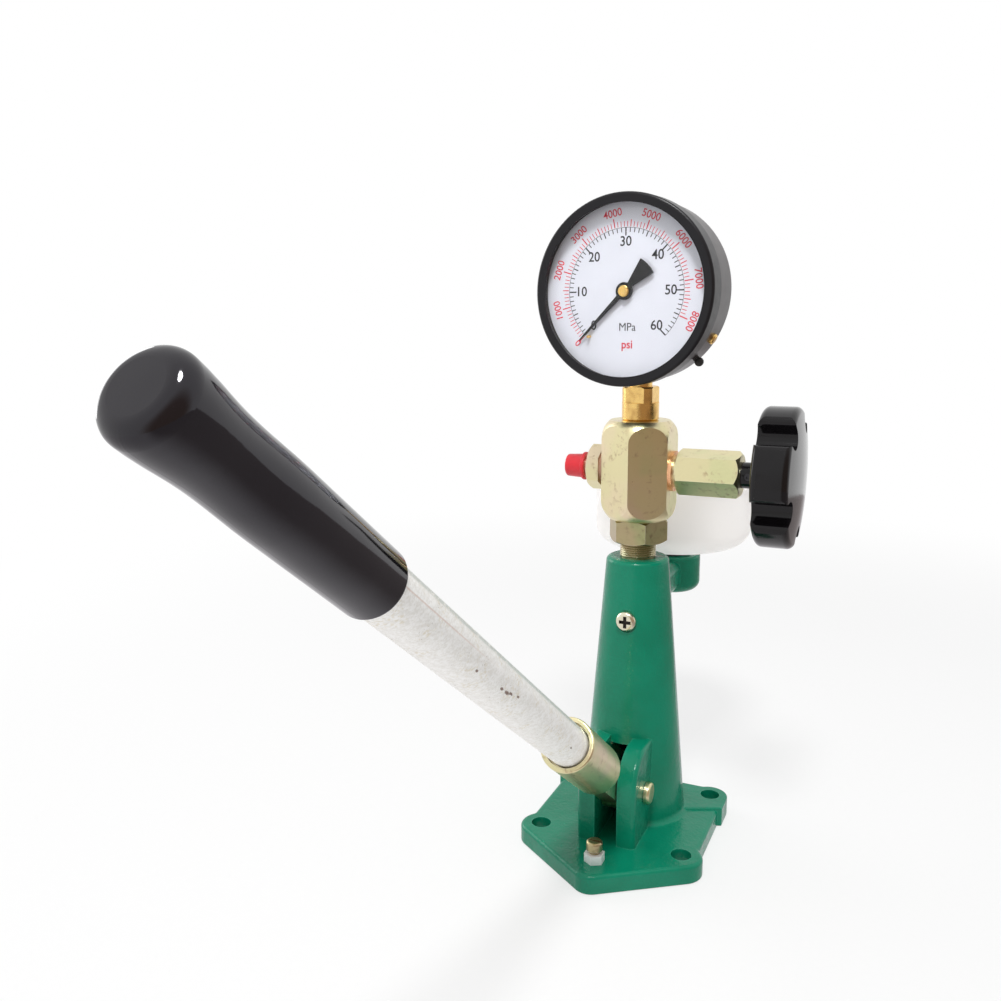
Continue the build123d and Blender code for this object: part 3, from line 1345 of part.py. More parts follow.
# Split pin
with BuildPart() as split_pin:
    with BuildLine() as split_path:
        leg = split_pin_wire + running_fit
        eye_bottom = pivot_z + pin_radius + running_fit
        eye_side = eye_bottom + split_eye_radius
        eye_top = eye_bottom + split_eye_height
        leg_end = pivot_z - split_leg_length
        splay_end = leg_end - split_splay
        across_up = ((-leg - split_splay, splay_end), (-leg, leg_end), (-leg, eye_bottom),
                     (-split_eye_radius, eye_side), (-split_eye_radius, eye_top),
                     (split_eye_radius, eye_top), (split_eye_radius, eye_side), (leg, eye_bottom),
                     (leg, leg_end), (leg + split_splay, splay_end))
        FilletPolyline(*[(-split_pin_place, pivot_y + across, up) for across, up in across_up],
                       radius=split_bend)
    with BuildSketch(Plane(origin=split_path.line @ 0, z_dir=-(split_path.line % 0))):
        RegularPolygon(split_pin_wire, split_pin_sides)
    sweep()

# Stop screw with its slotted head
with BuildPart() as stop_screw:
    with BuildSketch(Plane.XY.offset(stop_hole_floor)):
        with Locations((0, stop_y)):
            Circle(stop_radius)
    extrude(amount=stop_head_top - stop_head_height - stop_hole_floor)
    with BuildSketch(Plane.XY.offset(stop_head_top - stop_head_height)):
        with Locations((0, stop_y)):
            Circle(stop_head_radius)
    extrude(amount=stop_head_height)
    fillet(stop_screw.edges().group_by(Axis.Z)[-1], stop_slot_width)
    with Locations((0, stop_y, stop_head_top)):
        Box(2 * (stop_head_radius + overrun), stop_slot_width, 2 * stop_slot_depth, mode=Mode.SUBTRACT)

# Lock nut on the stop screw
with BuildPart() as stop_nut:
    with BuildSketch(Plane.XY.offset(plate_thickness)):
        with Locations((0, stop_y)):
            RegularPolygon(stop_nut_flats * half, hexagon, major_radius=False, rotation=quarter_turn / 3)
            Circle(stop_radius + running_fit, mode=Mode.SUBTRACT)
    extrude(amount=stop_nut_thickness)

pieces = {
    "body_casting": body_casting, "barrel_screw": barrel_screw, "pump_barrel": pump_barrel,
    "pump_plunger": pump_plunger, "plunger_foot": plunger_foot, "plunger_spring": plunger_spring,
    "delivery_seat": delivery_seat, "delivery_valve": delivery_valve,
    "delivery_spring": delivery_spring, "valve_nipple": valve_nipple, "jam_nut": jam_nut,
    "nipple_seal": nipple_seal, "valve_block": valve_block, "outlet_seal": outlet_seal,
    "outlet_fitting": outlet_fitting, "outlet_cap": outlet_cap, "bonnet_washer": bonnet_washer,
    "bonnet": bonnet, "valve_needle": valve_needle, "valve_spindle": valve_spindle,
    "spindle_packing": spindle_packing, "star_knob": star_knob, "knob_set_screw": knob_set_screw,
    "gauge_socket": gauge_socket, "gauge_case": gauge_case, "case_screw": case_screw,
    "case_plug": case_plug, "gauge_bezel": gauge_bezel, "gauge_lens": gauge_lens,
    "lens_gasket": lens_gasket, "dial_plate": dial_plate, "pointer_stop_pin": pointer_stop_pin,
    "gauge_pointer": gauge_pointer, "pointer_cap": pointer_cap, "pointer_arbor": pointer_arbor,
    "gear_sector": gear_sector, "movement_link": movement_link, "bourdon_tube": bourdon_tube,
    "movement_frame": movement_frame, "oil_cup": oil_cup, "cup_washers": cup_washers,
    "cup_bolt": cup_bolt, "cup_lid": cup_lid, "passage_plug": passage_plug,
    "lever_heel": lever_heel, "lever_socket": lever_socket, "lever_pipe": lever_pipe,
    "lever_grip": lever_grip, "pivot_pin": pivot_pin, "pin_washer": pin_washer,
    "split_pin": split_pin, "stop_screw": stop_screw, "stop_nut": stop_nut,
}
for label, piece in pieces.items():
    piece.part.label = label
    export_step(piece.part, f"parts/{label}.step")
print(len(pieces), "pieces")
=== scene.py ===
# %% [markdown]
# # A hand-pumped injector tester, from CAD solids to a picture
# The CAD model already has every part at its true size and place, so this lesson adds only what
# a camera sees: light, finishes, the printing on the gauge, screw threads and springs. Each cell
# does one thing and prints what it made. The CAD parts arrive first, and nothing ever moves them.

# %% Load the CAD frame
from math import cos, pi, radians, sin
import bpy
from mathutils import Matrix, Vector


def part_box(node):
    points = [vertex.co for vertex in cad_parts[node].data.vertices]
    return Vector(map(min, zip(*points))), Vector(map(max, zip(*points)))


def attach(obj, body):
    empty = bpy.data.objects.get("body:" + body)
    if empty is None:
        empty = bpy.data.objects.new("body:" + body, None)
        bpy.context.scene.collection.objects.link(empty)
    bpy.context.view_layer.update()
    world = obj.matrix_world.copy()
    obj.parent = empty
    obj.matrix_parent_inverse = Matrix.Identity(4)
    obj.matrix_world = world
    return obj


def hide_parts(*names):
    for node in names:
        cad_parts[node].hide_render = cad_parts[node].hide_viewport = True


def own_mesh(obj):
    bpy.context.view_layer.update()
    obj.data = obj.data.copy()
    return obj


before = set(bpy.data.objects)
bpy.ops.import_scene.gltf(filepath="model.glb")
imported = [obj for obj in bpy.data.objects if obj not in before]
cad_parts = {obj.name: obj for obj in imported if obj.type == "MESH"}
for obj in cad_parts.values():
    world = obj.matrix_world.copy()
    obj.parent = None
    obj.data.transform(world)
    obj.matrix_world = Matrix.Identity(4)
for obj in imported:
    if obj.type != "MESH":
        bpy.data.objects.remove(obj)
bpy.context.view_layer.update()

bpy.ops.object.select_all(action="DESELECT")

# %% [markdown]
# ## The camera
# A photograph fixes where its camera stood. These numbers came from fitting the foot plate, the
# column and the gauge's rim to the picture. A camera could also be aimed with a Track To
# constraint, but that leaves no room for the slight roll. So it is turned about Z, tipped down and
# rolled, in that order, which is easiest to read as three rotation matrices.

# %% Place the camera
camera_place = Vector((0.15499, -0.51795, 0.30598))
turn_left, look_down, roll = radians(25.195), radians(11.13), radians(-0.598)
bpy.ops.object.camera_add()
camera = bpy.context.object
camera.name = "photo_camera"
camera.data.lens = 33.785
camera.data.clip_start = 0.02
camera.matrix_world = (Matrix.Translation(camera_place) @ Matrix.Rotation(turn_left, 4, "Z")
                       @ Matrix.Rotation(pi / 2 - look_down, 4, "X") @ Matrix.Rotation(roll, 4, "Z"))
bpy.context.scene.camera = camera
bpy.context.scene.view_settings.view_transform = "Standard"
print("camera at", camera_place[:], "lens", camera.data.lens)

# %% [markdown]
# ## Writing node materials as sums
# A Blender material is a net of nodes. Built one link at a time it is hard to read, so `Wire`
# wraps one output socket and overloads + - * and ** so that a pattern reads like a formula. The
# reflected forms, such as `__rsub__`, are what let a plain number come first, as in 1 - mask.

# %% Wrap one output of a node
class Wire:
    """One output of a node. Arithmetic on it adds a Math node."""

    def __init__(self, net, socket):
        self.net, self.socket = net, socket

    def maths(self, operation, left, right):
        return self.net.add("Math", {"operation": operation}, {0: left, 1: right})

    def __add__(self, other): return self.maths("ADD", self, other)
    def __radd__(self, other): return self.maths("ADD", other, self)
    def __sub__(self, other): return self.maths("SUBTRACT", self, other)
    def __rsub__(self, other): return self.maths("SUBTRACT", other, self)
    def __mul__(self, other): return self.maths("MULTIPLY", self, other)
    def __rmul__(self, other): return self.maths("MULTIPLY", other, self)
    def __pow__(self, other): return self.maths("POWER", self, other)


print("sums of sockets ready")

# %% [markdown]
# ## One net for one finish
# `Finish` owns the net of a material or of the world. Its `add` makes any node: the settings come
# first, because some of them change which sockets a node has, and the sockets follow. The other
# methods are the few things that every finish here needs: a place, a noise, a soft step, a blend
# of two colours, a relief and the shader that ends it.

# %% Build a net of nodes
class Finish:
    """A node net of a material or of the world."""

    def __init__(self, owner):
        owner.use_nodes = True
        self.owner, self.tree = owner, owner.node_tree
        self.tree.nodes.clear()

    def add(self, kind, settings=None, sockets=None, output=0):
        node = self.tree.nodes.new("ShaderNode" + kind)
        for name, value in (settings or {}).items():
            setattr(node, name, value)
        for name, value in (sockets or {}).items():
            if isinstance(value, Wire):
                self.tree.links.new(value.socket, node.inputs[name])
            else:
                node.inputs[name].default_value = value
        return Wire(self, node.outputs[output]) if node.outputs else node

    def place(self, stretch=(1, 1, 1), turn=(0, 0, 0)):
        """Where a point is on the object, in metres, with the pattern stretched or turned."""
        here = self.add("TexCoord", output="Object")
        if stretch == (1, 1, 1) and turn == (0, 0, 0):
            return here
        return self.add("Mapping", sockets={"Vector": here, "Rotation": turn, "Scale": stretch})

    def noise(self, size, detail=2.0, where=None, rough=0.5):
        """Soft random blotches, about `size` metres across."""
        return self.add("TexNoise", sockets={
            "Vector": where or self.place(), "Scale": 1 / size, "Detail": detail, "Roughness": rough})

    def between(self, value, low, high):
        """0 below low, 1 above high, and a smooth rise in between."""
        return self.add("MapRange", {"interpolation_type": "SMOOTHSTEP"},
                        {"Value": value, "From Min": low, "From Max": high})

    def blend(self, share, first, second):
        """A colour that goes from the first to the second as share goes from 0 to 1."""
        colour = [value if isinstance(value, Wire) else (*value, 1) for value in (first, second)]
        return self.add("Mix", {"data_type": "RGBA"}, {0: share, 6: colour[0], 7: colour[1]}, output=2)

    def bump(self, height, depth):
        """A surface relief. Height runs from 0 to 1, and depth is its size in metres."""
        return self.add("Bump", sockets={"Height": height, "Distance": depth})

    def surface(self, colour, clear_to_lamps=False, **sockets):
        """Ends the net in a Principled shader. Socket names are written with underscores."""
        named = {name.replace("_", " "): value for name, value in sockets.items()}
        shader = self.add("BsdfPrincipled", sockets={
            "Base Color": colour if isinstance(colour, Wire) else (*colour, 1), **named})
        if clear_to_lamps:
            lamp_ray = self.add("LightPath", output="Is Shadow Ray")
            clear = self.add("BsdfTransparent")
            shader = self.add("MixShader", sockets={0: lamp_ray, 1: shader, 2: clear})
        self.add("OutputMaterial", sockets={"Surface": shader})
        return self.owner


def new_finish(name):
    return Finish(bpy.data.materials.new(name))


print("nets of nodes ready")

# %% [markdown]
# ## Studio light
# The photograph is high key: a white room with one darker side, to the right of the camera, which
# makes the flats that face that way look dark while the others look almost white. A picture of a
# room could light the scene, but nodes alone can do it: the world is white to the camera, gives
# everything a soft fill, and darkens toward the front right for mirror rays only.

# %% Build the world
room = Finish(bpy.context.scene.world or bpy.data.worlds.new("room"))
bpy.context.scene.world = room.owner
fill_light = 0.56
dark_side = (0.75, -0.65, -0.1)
dark_from, dark_to = 0.42, 0.85  # how far toward the dark side a mirror ray has to lean
white = (1, 1, 1)
dark_wall = (0.38, 0.27, 0.20)
rays = "LightPath"
seen = room.add(rays, output="Is Camera Ray") + room.add(rays, output="Is Transmission Ray")
in_mirror = room.add(rays, output="Is Glossy Ray")
facing = room.add("VectorMath", {"operation": "DOT_PRODUCT"},
                  {0: room.add("TexCoord", output="Generated"), 1: dark_side}, output="Value")
walls = room.blend(room.between(facing, dark_from, dark_to), white, dark_wall)
level = room.between(seen + in_mirror, 0, 1)
glow = room.add("Background", sockets={
    "Color": room.blend(in_mirror, white, walls), "Strength": level + (1 - level) * fill_light})
room.add("OutputWorld", sockets={"Surface": glow})
print("world ready, fill", fill_light, "dark side toward", dark_side)

# %% [markdown]
# ## Two soft lamps
# The fill alone leaves a thing flat. A real studio adds a soft box, and an area lamp is the same:
# the larger its disk, the softer the shadow. The key hangs high over the front and draws the
# shadows, and a wide weak lamp on the left lifts the sides that face it.

# %% Add the lamps
def soft_lamp(name, place, aim, size, watts):
    bpy.ops.object.light_add(type="AREA", location=place)
    lamp = bpy.context.object
    lamp.name = name
    lamp.data.shape, lamp.data.size, lamp.data.energy = "DISK", size, watts
    lamp.rotation_euler = (Vector(aim) - Vector(place)).to_track_quat("-Z", "Y").to_euler()
    print(name, place, watts, "W")


middle = (0.0, -0.1, 0.18)
soft_lamp("key_lamp", (0.15, -0.6, 1.35), middle, 0.30, 11)
soft_lamp("side_lamp", (-1.3, 0.2, 0.6), middle, 0.9, 5)

# %% [markdown]
# ## The floor
# A white sweep would hide the horizon in a real studio. Here one large disk does the same: two
# thirds of what the camera sees on it is plain white, so the object's shadow stays as a soft grey,
# and with distance it fades to all white, so the horizon can't be seen. Black gloss and plated
# flats are mostly a picture of what they face, and in the photograph their lower parts mirror
# something darker on the right than on the left, so in mirrors this floor does the same.

# %% Lay the floor
floor_radius, under_plate = 1.1, -0.0001
plain_share, fade_from, fade_to = 0.68, 0.4, 1.0
table_left, table_right = -0.02, 0.24
pale_table, dark_table = (0.95, 0.93, 0.95), (0.38, 0.335, 0.33)

bpy.ops.mesh.primitive_circle_add(vertices=96, radius=floor_radius, fill_type="NGON",
                                  location=(0, 0, under_plate))
floor = bpy.context.object
floor.name = "studio_floor"
paper = new_finish("white_paper")
from_object = paper.add("VectorMath", {"operation": "LENGTH"}, {0: paper.place()}, output="Value")
far = paper.between(from_object, fade_from, fade_to)
looked_at = paper.between(
    paper.add(rays, output="Is Camera Ray") + paper.add(rays, output="Is Transmission Ray"), 0, 1)
reflected = paper.add(rays, output="Is Glossy Ray")
rightward = paper.add("SeparateXYZ", sockets={0: paper.place()}, output="X")
table = paper.blend(paper.between(rightward, table_left, table_right), pale_table, dark_table)
whiteness = looked_at * (plain_share + (1 - plain_share) * far) + reflected
fibres = paper.blend(paper.noise(0.004, 3), (0.84, 0.84, 0.84), (0.88, 0.88, 0.88))
dull_paper = paper.add("BsdfDiffuse", sockets={"Color": fibres})
lit_paper = paper.add("Emission", sockets={
    "Color": paper.blend(reflected, white, table), "Strength": 1.0})
paper.add("OutputMaterial", sockets={
    "Surface": paper.add("MixShader", sockets={0: whiteness, 1: dull_paper, 2: lit_paper})})
floor.data.materials.append(paper.owner)
print("floor laid, radius", floor_radius)

# %% [markdown]
# ## Green enamel on a sand casting
# Cast iron keeps the lumps of the sand it was poured in, and thick enamel rounds them off. The
# lumps could be displaced into the mesh, but they are too shallow to show on the outline, so a
# bump is enough. Two sizes of noise make it: slow swells from the casting, and fine orange peel
# from the spray gun. Paint runs thin on corners, so a bevel node finds them and lets them go paler:
# the pale corners are partly that thin paint and partly a painted highlight along the edges.

# %% Make the green enamel
def corners(net, radius):
    """1 along sharp edges: where a rounded-off normal leans away from the true one."""
    rounded = net.add("Bevel", {"samples": 4}, {"Radius": radius})
    plain = net.add("NewGeometry", output="Normal")
    match = net.add("VectorMath", {"operation": "DOT_PRODUCT"}, {0: rounded, 1: plain}, output="Value")
    return net.between(1 - match, 0.02, 0.25)


enamel = new_finish("green_enamel")
swell = enamel.noise(0.013, 3)
peel = enamel.noise(0.0019, 2)
# Paler corners: partly thin paint, partly a painted highlight along the edges.
thin_paint_and_edge_highlight = corners(enamel, 0.0016) * enamel.between(enamel.noise(0.006, 3), 0.25, 0.60)
deep_green = enamel.blend(enamel.between(enamel.noise(0.03, 2), 0.3, 0.7),
                          (0.001, 0.185, 0.102), (0.002, 0.218, 0.124))
pale_edge_and_highlight = (0.06, 0.39, 0.26)
green_enamel = enamel.surface(
    enamel.blend(thin_paint_and_edge_highlight * 0.6, deep_green, pale_edge_and_highlight),
    Roughness=0.13 + 0.16 * enamel.noise(0.007, 3),
    Specular_IOR_Level=0.3,
    Normal=enamel.bump(swell * 0.8 + peel * 0.24, 0.0007))
print("green enamel made")

# %% [markdown]
# ## Yellow zinc
# Zinc plating is dipped in a chromate bath that leaves a thin film, gold on the whole, with pink
# and green clouds like oil on water. A metal's colour is its reflection's tint, so the clouds are
# mixed into the base colour of a fully metallic shader. Fine drawn lines come from stretched noise.

# %% Make the plated finishes
plate_relief = 0.00006


def plated(name, gold, pink, green, roughness, stain=(0.42, 0.30, 0.18)):
    net = new_finish(name)
    cloud = net.noise(0.030, 2)
    drift = net.noise(0.022, 2, net.place(turn=(0.6, 0.3, 1.1)))
    lines = net.noise(0.0006, 3, net.place(stretch=(1, 1, 0.08)))
    mottle = net.noise(0.0032, 4, rough=0.62)
    stained = net.between(mottle, 0.5, 0.68) * net.between(net.noise(0.013, 2), 0.42, 0.62)
    tint = net.blend(net.between(cloud, 0.45, 0.7), gold, pink)
    tint = net.blend(net.between(drift, 0.5, 0.72), tint, green)
    tint = net.blend(stained * 0.65, tint, stain)
    # Edges go paler: partly wear, partly a painted highlight along the edges.
    worn = corners(net, 0.0006)
    bright = tuple(0.35 * value + 0.6 for value in gold)
    return net.surface(
        net.blend(worn * 0.55, tint, bright), Metallic=1.0,
        Roughness=roughness + 0.12 * mottle + 0.06 * lines,
        Normal=net.bump(0.5 * lines + net.noise(0.0018, 2), plate_relief))


yellow_zinc = plated("yellow_zinc_plate", (0.76, 0.69, 0.41), (0.79, 0.66, 0.46), (0.69, 0.68, 0.38), 0.22)
# A darker copy of the yellow zinc: painted shade on the parts that wear it.
painted_shade_zinc = plated("painted_shade_zinc_plate", (0.42, 0.37, 0.20), (0.45, 0.34, 0.21), (0.36, 0.36, 0.18), 0.24,
                    (0.20, 0.15, 0.09))
white_zinc = plated("white_zinc_plate", (0.78, 0.78, 0.80), (0.80, 0.77, 0.74), (0.72, 0.77, 0.80), 0.14,
                    (0.62, 0.58, 0.52))
print("plated finishes made")

# %% [markdown]
# ## The cross-head screw
# Little light finds its way to the bottom of a cross recess, so that part is painted shade.
# The recess could have a material slot of its own, but the CAD part comes with one. So the screw
# wears a paler plate, with painted shade where a point lies both near the screw's axis and behind
# the dome of its head.

# %% Make the cross-head screw's finish
screw_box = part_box("barrel_screw")
screw_face = Vector(((screw_box[0][0] + screw_box[1][0]) / 2, screw_box[0][1],
                     (screw_box[0][2] + screw_box[1][2]) / 2))
recess_radius, recess_edge = 0.0037, 0.0001
dome_back, recess_floor = 0.0009, 0.0013  # how far behind the head's highest point
head = new_finish("cross_head_zinc")
head_x, head_y, head_z = (
    head.add("SeparateXYZ", sockets={0: head.place()}, output=axis) for axis in "XYZ")
off_axis = ((head_x - screw_face.x) ** 2 + (head_z - screw_face.z) ** 2) ** 0.5
# Painted shade: dark colour at the bottom of the cross recess.
painted_recess_shade = 1 - head.between(off_axis, recess_radius - recess_edge, recess_radius + recess_edge)
painted_recess_shade = painted_recess_shade * head.between(head_y - screw_face.y, dome_back, recess_floor)
head_plate = head.blend(head.noise(0.004, 3), (0.80, 0.76, 0.60), (0.74, 0.70, 0.52))
cross_zinc = head.surface(
    head.blend(painted_recess_shade, head_plate, (0.035, 0.028, 0.022)), Metallic=1 - 0.8 * painted_recess_shade,
    Roughness=0.24 + 0.4 * painted_recess_shade, Normal=head.bump(head.noise(0.0018, 2), plate_relief))
print("screw head at", tuple(round(value, 4) for value in screw_face))

# %% [markdown]
# ## Brass, copper and steel
# Turned parts carry rings from the lathe tool. They could be cut into the mesh, but they are far
# too fine to be worth its faces, so they are a bump: noise squeezed along the axis and stretched
# across it. Brass and copper tarnish in soft brown patches, rougher than the bright metal.

# %% Make the turned metals
ring_depth = 0.00003


def turned(name, bright, tarnish, roughness, axis_stretch):
    net = new_finish(name)
    patch = net.between(net.noise(0.006, 4), 0.42, 0.72)
    rings = net.noise(0.0035, 2, net.place(stretch=axis_stretch))
    return net.surface(
        net.blend(patch * 0.7, bright, tarnish), Metallic=1.0,
        Roughness=roughness + 0.2 * patch + 0.08 * rings, Normal=net.bump(rings, ring_depth))


turned_brass = turned("turned_brass", (0.87, 0.58, 0.20), (0.62, 0.36, 0.12), 0.16, (0.3, 0.3, 12))
red_copper = turned("red_copper", (0.90, 0.50, 0.28), (0.62, 0.30, 0.15), 0.18, (12, 0.3, 0.3))
ground_steel = turned("ground_steel", (0.60, 0.59, 0.57), (0.48, 0.46, 0.44), 0.20, (1, 1, 12))
blued_screw = turned("blackened_steel", (0.06, 0.06, 0.065), (0.03, 0.03, 0.03), 0.30, (1, 1, 12))
print("turned metals made")

# %% [markdown]
# ## The galvanised pipe's own axes
# The lever slopes, so a pattern in the world's axes would cut across it. A Mapping node turns the
# place by the lever's angle instead: X runs across the pipe, Y along it and Z up. That is enough
# to measure where any point lies along and around the pipe.

# %% Lay the pipe's axes
lever_angle = radians(37.26)
pivot = Vector((0, -0.0325, 0.0358))
pipe_radius = 0.01065

coating = new_finish("galvanised_pipe")
lever_way = coating.place(turn=(lever_angle, 0, 0))
axis_height = pivot.y * sin(lever_angle) + pivot.z * cos(lever_angle)
along_pipe = coating.add("SeparateXYZ", sockets={0: lever_way}, output="Y")
above_axis = coating.add("SeparateXYZ", sockets={0: lever_way}, output="Z") - axis_height
to_right = coating.add("SeparateXYZ", sockets={0: lever_way}, output="X")
pipe_start = pivot.y * cos(lever_angle) - pivot.z * sin(lever_angle)
print("the pipe's axis is", round(axis_height, 5), "up and starts", round(pipe_start, 5), "along")

# %% [markdown]
# ## Chalky zinc
# Hot zinc weathers to a chalky white that hardly mirrors at all, so this finish is mostly
# diffuse. It could be one flat pale grey, but the real pipe shows several layers of wear, and each
# is blended over the last: drawing streaks along the pipe, yellowed patches and small worn spots.

# %% Mix the weathered zinc
streaks = coating.noise(
    0.0016, 3, coating.place(turn=(lever_angle, 0, 0), stretch=(1, 0.35, 1)), rough=0.6)
zinc_grain = coating.noise(0.0009, 3)
chalk = coating.blend(coating.between(0.5 * streaks + 0.5 * zinc_grain, 0.38, 0.62),
                      (0.84, 0.82, 0.78), (0.99, 0.98, 0.96))
yellowed = coating.between(coating.noise(0.012, 3), 0.48, 0.62)
yellowed = yellowed * coating.between(coating.noise(0.0014, 3), 0.5, 0.62)
chalk = coating.blend(0.5 * yellowed, chalk, (0.70, 0.62, 0.45))
worn = coating.between(coating.noise(0.0009, 2), 0.62, 0.70)
worn = worn * coating.between(coating.noise(0.018, 2), 0.42, 0.58)
chalk = coating.blend(0.55 * worn, chalk, (0.36, 0.31, 0.24))
print("zinc mixed")

# %% [markdown]
# ## Two lines down the pipe
# The pipe was rolled from strip and welded, so one thin line runs down its right side from the
# grip and fades out further down. A narrow grey band also runs along the upper right. Both could be
# painted on an unwrapped pipe, but narrow steps in its own axes are enough and stay straight.

# %% Draw the grey band and the weld
upper_grey_band = coating.between(above_axis + to_right, 0.0145, 0.0150) * coating.between(streaks, 0.3, 0.5)
chalk = coating.blend(0.6 * upper_grey_band, chalk, (0.30, 0.36, 0.33))
weld_height, weld_end, weld_faded = 0.0009, -0.33, -0.27
off_weld = coating.add("Math", {"operation": "ABSOLUTE"}, {0: above_axis - weld_height})
weld = 1 - coating.between(off_weld, 0.0001, 0.0005)
weld = weld * coating.between(to_right, 0.004, 0.006)
weld = weld * (1 - coating.between(along_pipe, weld_end, weld_faded))
chalk = coating.blend(0.55 * weld, chalk, (0.62, 0.44, 0.36))
print("weld", weld_height, "above the axis")

# %% [markdown]
# ## Flecks of rust
# Where the zinc is pierced, the iron rusts in small ragged flecks. Noise would put them anywhere,
# so each one is listed: how far it is along the pipe, how far round from the top, and its
# radius. The distance to its middle, made uneven by noise, gives the fleck its torn edge.

# %% Add the rust and end the finish
rust_flecks = (  # metres along, degrees round, metres of radius
    (0.2441, 119, 0.0005), (0.2191, 114.5, 0.0006), (0.2135, 114, 0.0008),
    (0.2100, 110, 0.0006), (0.2030, 105.5, 0.0005), (0.1238, 117, 0.0004))
fleck_stretch = 0.35  # below 1, a fleck is longer along the pipe than across it
ragged = 0.0009 * (coating.noise(0.0009, 2) - 0.5)
rust = 0
for along, around, size in rust_flecks:
    aside = to_right - pipe_radius * sin(radians(around))
    upward = above_axis - pipe_radius * cos(radians(around))
    down_pipe = fleck_stretch * (along_pipe + (along - pipe_start))
    from_fleck = (aside ** 2 + upward ** 2 + down_pipe ** 2) ** 0.5
    rust = 1 - coating.between(from_fleck + ragged, size * 0.6, size * 1.2) + rust
stained = coating.blend(0.9 * coating.between(rust, 0, 1), chalk, (0.16, 0.075, 0.045))
galvanised = coating.surface(
    stained, Metallic=0.08, Roughness=0.36 + 0.2 * streaks,
    Normal=coating.bump(0.6 * streaks + 0.4 * zinc_grain - 0.5 * worn, 0.00008))
print("galvanised finish made, with", len(rust_flecks), "flecks")

# %% [markdown]
# ## Plastics, rubber and paint
# Black is never just black: what tells dipped vinyl, moulded resin, stove paint and rubber apart
# is how sharp their reflections are. The dipped grip is the glossiest, with long slow waves where
# the vinyl ran before it set. One helper makes them all, since they differ only in their two
# colours, the size of their blotches, their gloss and how deep their fine and slow relief goes.

# %% Make the plastics
def moulded(name, low, high, blotch, roughness, spread, relief, waves=0.0, **more):
    net = new_finish(name)
    fine = net.noise(0.0009, 2)
    slow = net.noise(0.024, 1)
    return net.surface(
        net.blend(net.noise(blotch, 3), low, high), Roughness=roughness + spread * net.noise(blotch * 0.6, 3),
        Normal=net.bump(relief * fine + waves * slow, 0.001), **more)


dipped_vinyl = moulded("dipped_vinyl", (0.0035, 0.003, 0.0045), (0.006, 0.005, 0.007), 0.02,
                       0.05, 0.06, 0.004, 0.35, Specular_Tint=(0.96, 0.93, 1.0, 1))
black_resin = moulded("moulded_resin", (0.004, 0.0035, 0.004), (0.007, 0.006, 0.007), 0.01,
                      0.07, 0.06, 0.004, 0.06, Specular_IOR_Level=0.3)
stove_paint = moulded("stove_paint", (0.026, 0.019, 0.020), (0.040, 0.030, 0.031), 0.012,
                      0.24, 0.12, 0.012, 0.05)
bezel_black = moulded("bezel_black", (0.006, 0.006, 0.008), (0.011, 0.010, 0.012), 0.006,
                      0.26, 0.14, 0.014, Specular_IOR_Level=0.28)
dull_rubber = moulded("dull_rubber", (0.016, 0.015, 0.015), (0.030, 0.028, 0.027), 0.003,
                      0.55, 0.2, 0.03)
zinc_flake = moulded("zinc_flake", (0.86, 0.87, 0.87), (0.93, 0.93, 0.92), 0.003,
                     0.30, 0.14, 0.01, Metallic=0.2)
fibre_seal = moulded("fibre_seal", (0.40, 0.22, 0.15), (0.52, 0.31, 0.22), 0.003,
                     0.45, 0.2, 0.02)
red_vinyl = moulded("red_vinyl", (0.66, 0.018, 0.030), (0.78, 0.030, 0.045), 0.004,
                    0.30, 0.14, 0.01, 0.05, Subsurface_Weight=0.1, Subsurface_Scale=0.001)
# The cup's plastic gives off a little light of its own: a painted glow that lifts it toward white.
milky_plastic = moulded("milky_plastic", (0.86, 0.845, 0.83), (0.90, 0.89, 0.88), 0.02,
                        0.36, 0.14, 0.01, 0.1, Transmission_Weight=0.35, IOR=1.3,
                        Emission_Color=(1.0, 0.975, 0.955, 1), Emission_Strength=0.16)
dial_white = moulded("dial_white", (0.645, 0.665, 0.735), (0.68, 0.70, 0.77), 0.01,
                     0.38, 0.1, 0.004)
pointer_black = moulded("pointer_black", (0.006, 0.006, 0.007), (0.012, 0.012, 0.013), 0.002,
                        0.40, 0.15, 0.008)
clear_window = moulded("clear_window", (0.97, 0.98, 0.98), (1, 1, 1), 0.02,
                       0.0, 0.03, 0.0, clear_to_lamps=True, Transmission_Weight=1.0, IOR=1.12)
print("plastics made")

# %% [markdown]
# ## Who wears what
# The real tester is put together from a painted casting, plated hexagons, a brass gauge fitting
# and a moulded knob. Each CAD part keeps its mesh and only swaps its material, by writing to its
# slots. One table from finish to parts shows at a glance who wears what, and the parts that it
# leaves out are printed, so that none stays bare.

# %% Dress the CAD parts
wardrobe = {
    green_enamel: "body_casting",
    yellow_zinc: "valve_block outlet_fitting bonnet lever_heel lever_socket pin_washer pivot_pin",
    # the darker zinc is painted shade
    painted_shade_zinc: "valve_nipple jam_nut stop_screw",
    zinc_flake: "stop_nut split_pin",
    fibre_seal: "outlet_seal",
    cross_zinc: "barrel_screw",
    white_zinc: "cup_bolt passage_plug",
    galvanised: "lever_pipe",
    ground_steel: "pump_barrel pump_plunger plunger_foot delivery_seat delivery_valve "
                  "plunger_spring delivery_spring valve_needle valve_spindle pointer_arbor",
    blued_screw: "knob_set_screw",
    turned_brass: "gauge_socket pointer_cap pointer_stop_pin movement_frame gear_sector "
                  "movement_link bourdon_tube case_screw",
    red_copper: "bonnet_washer nipple_seal",
    dipped_vinyl: "lever_grip",
    black_resin: "star_knob",
    stove_paint: "gauge_case",
    bezel_black: "gauge_bezel",
    dull_rubber: "case_plug spindle_packing lens_gasket cup_washers",
    red_vinyl: "outlet_cap",
    clear_window: "gauge_lens",
    dial_white: "dial_plate",
    milky_plastic: "oil_cup cup_lid",
    pointer_black: "gauge_pointer",
}
dressed = set()
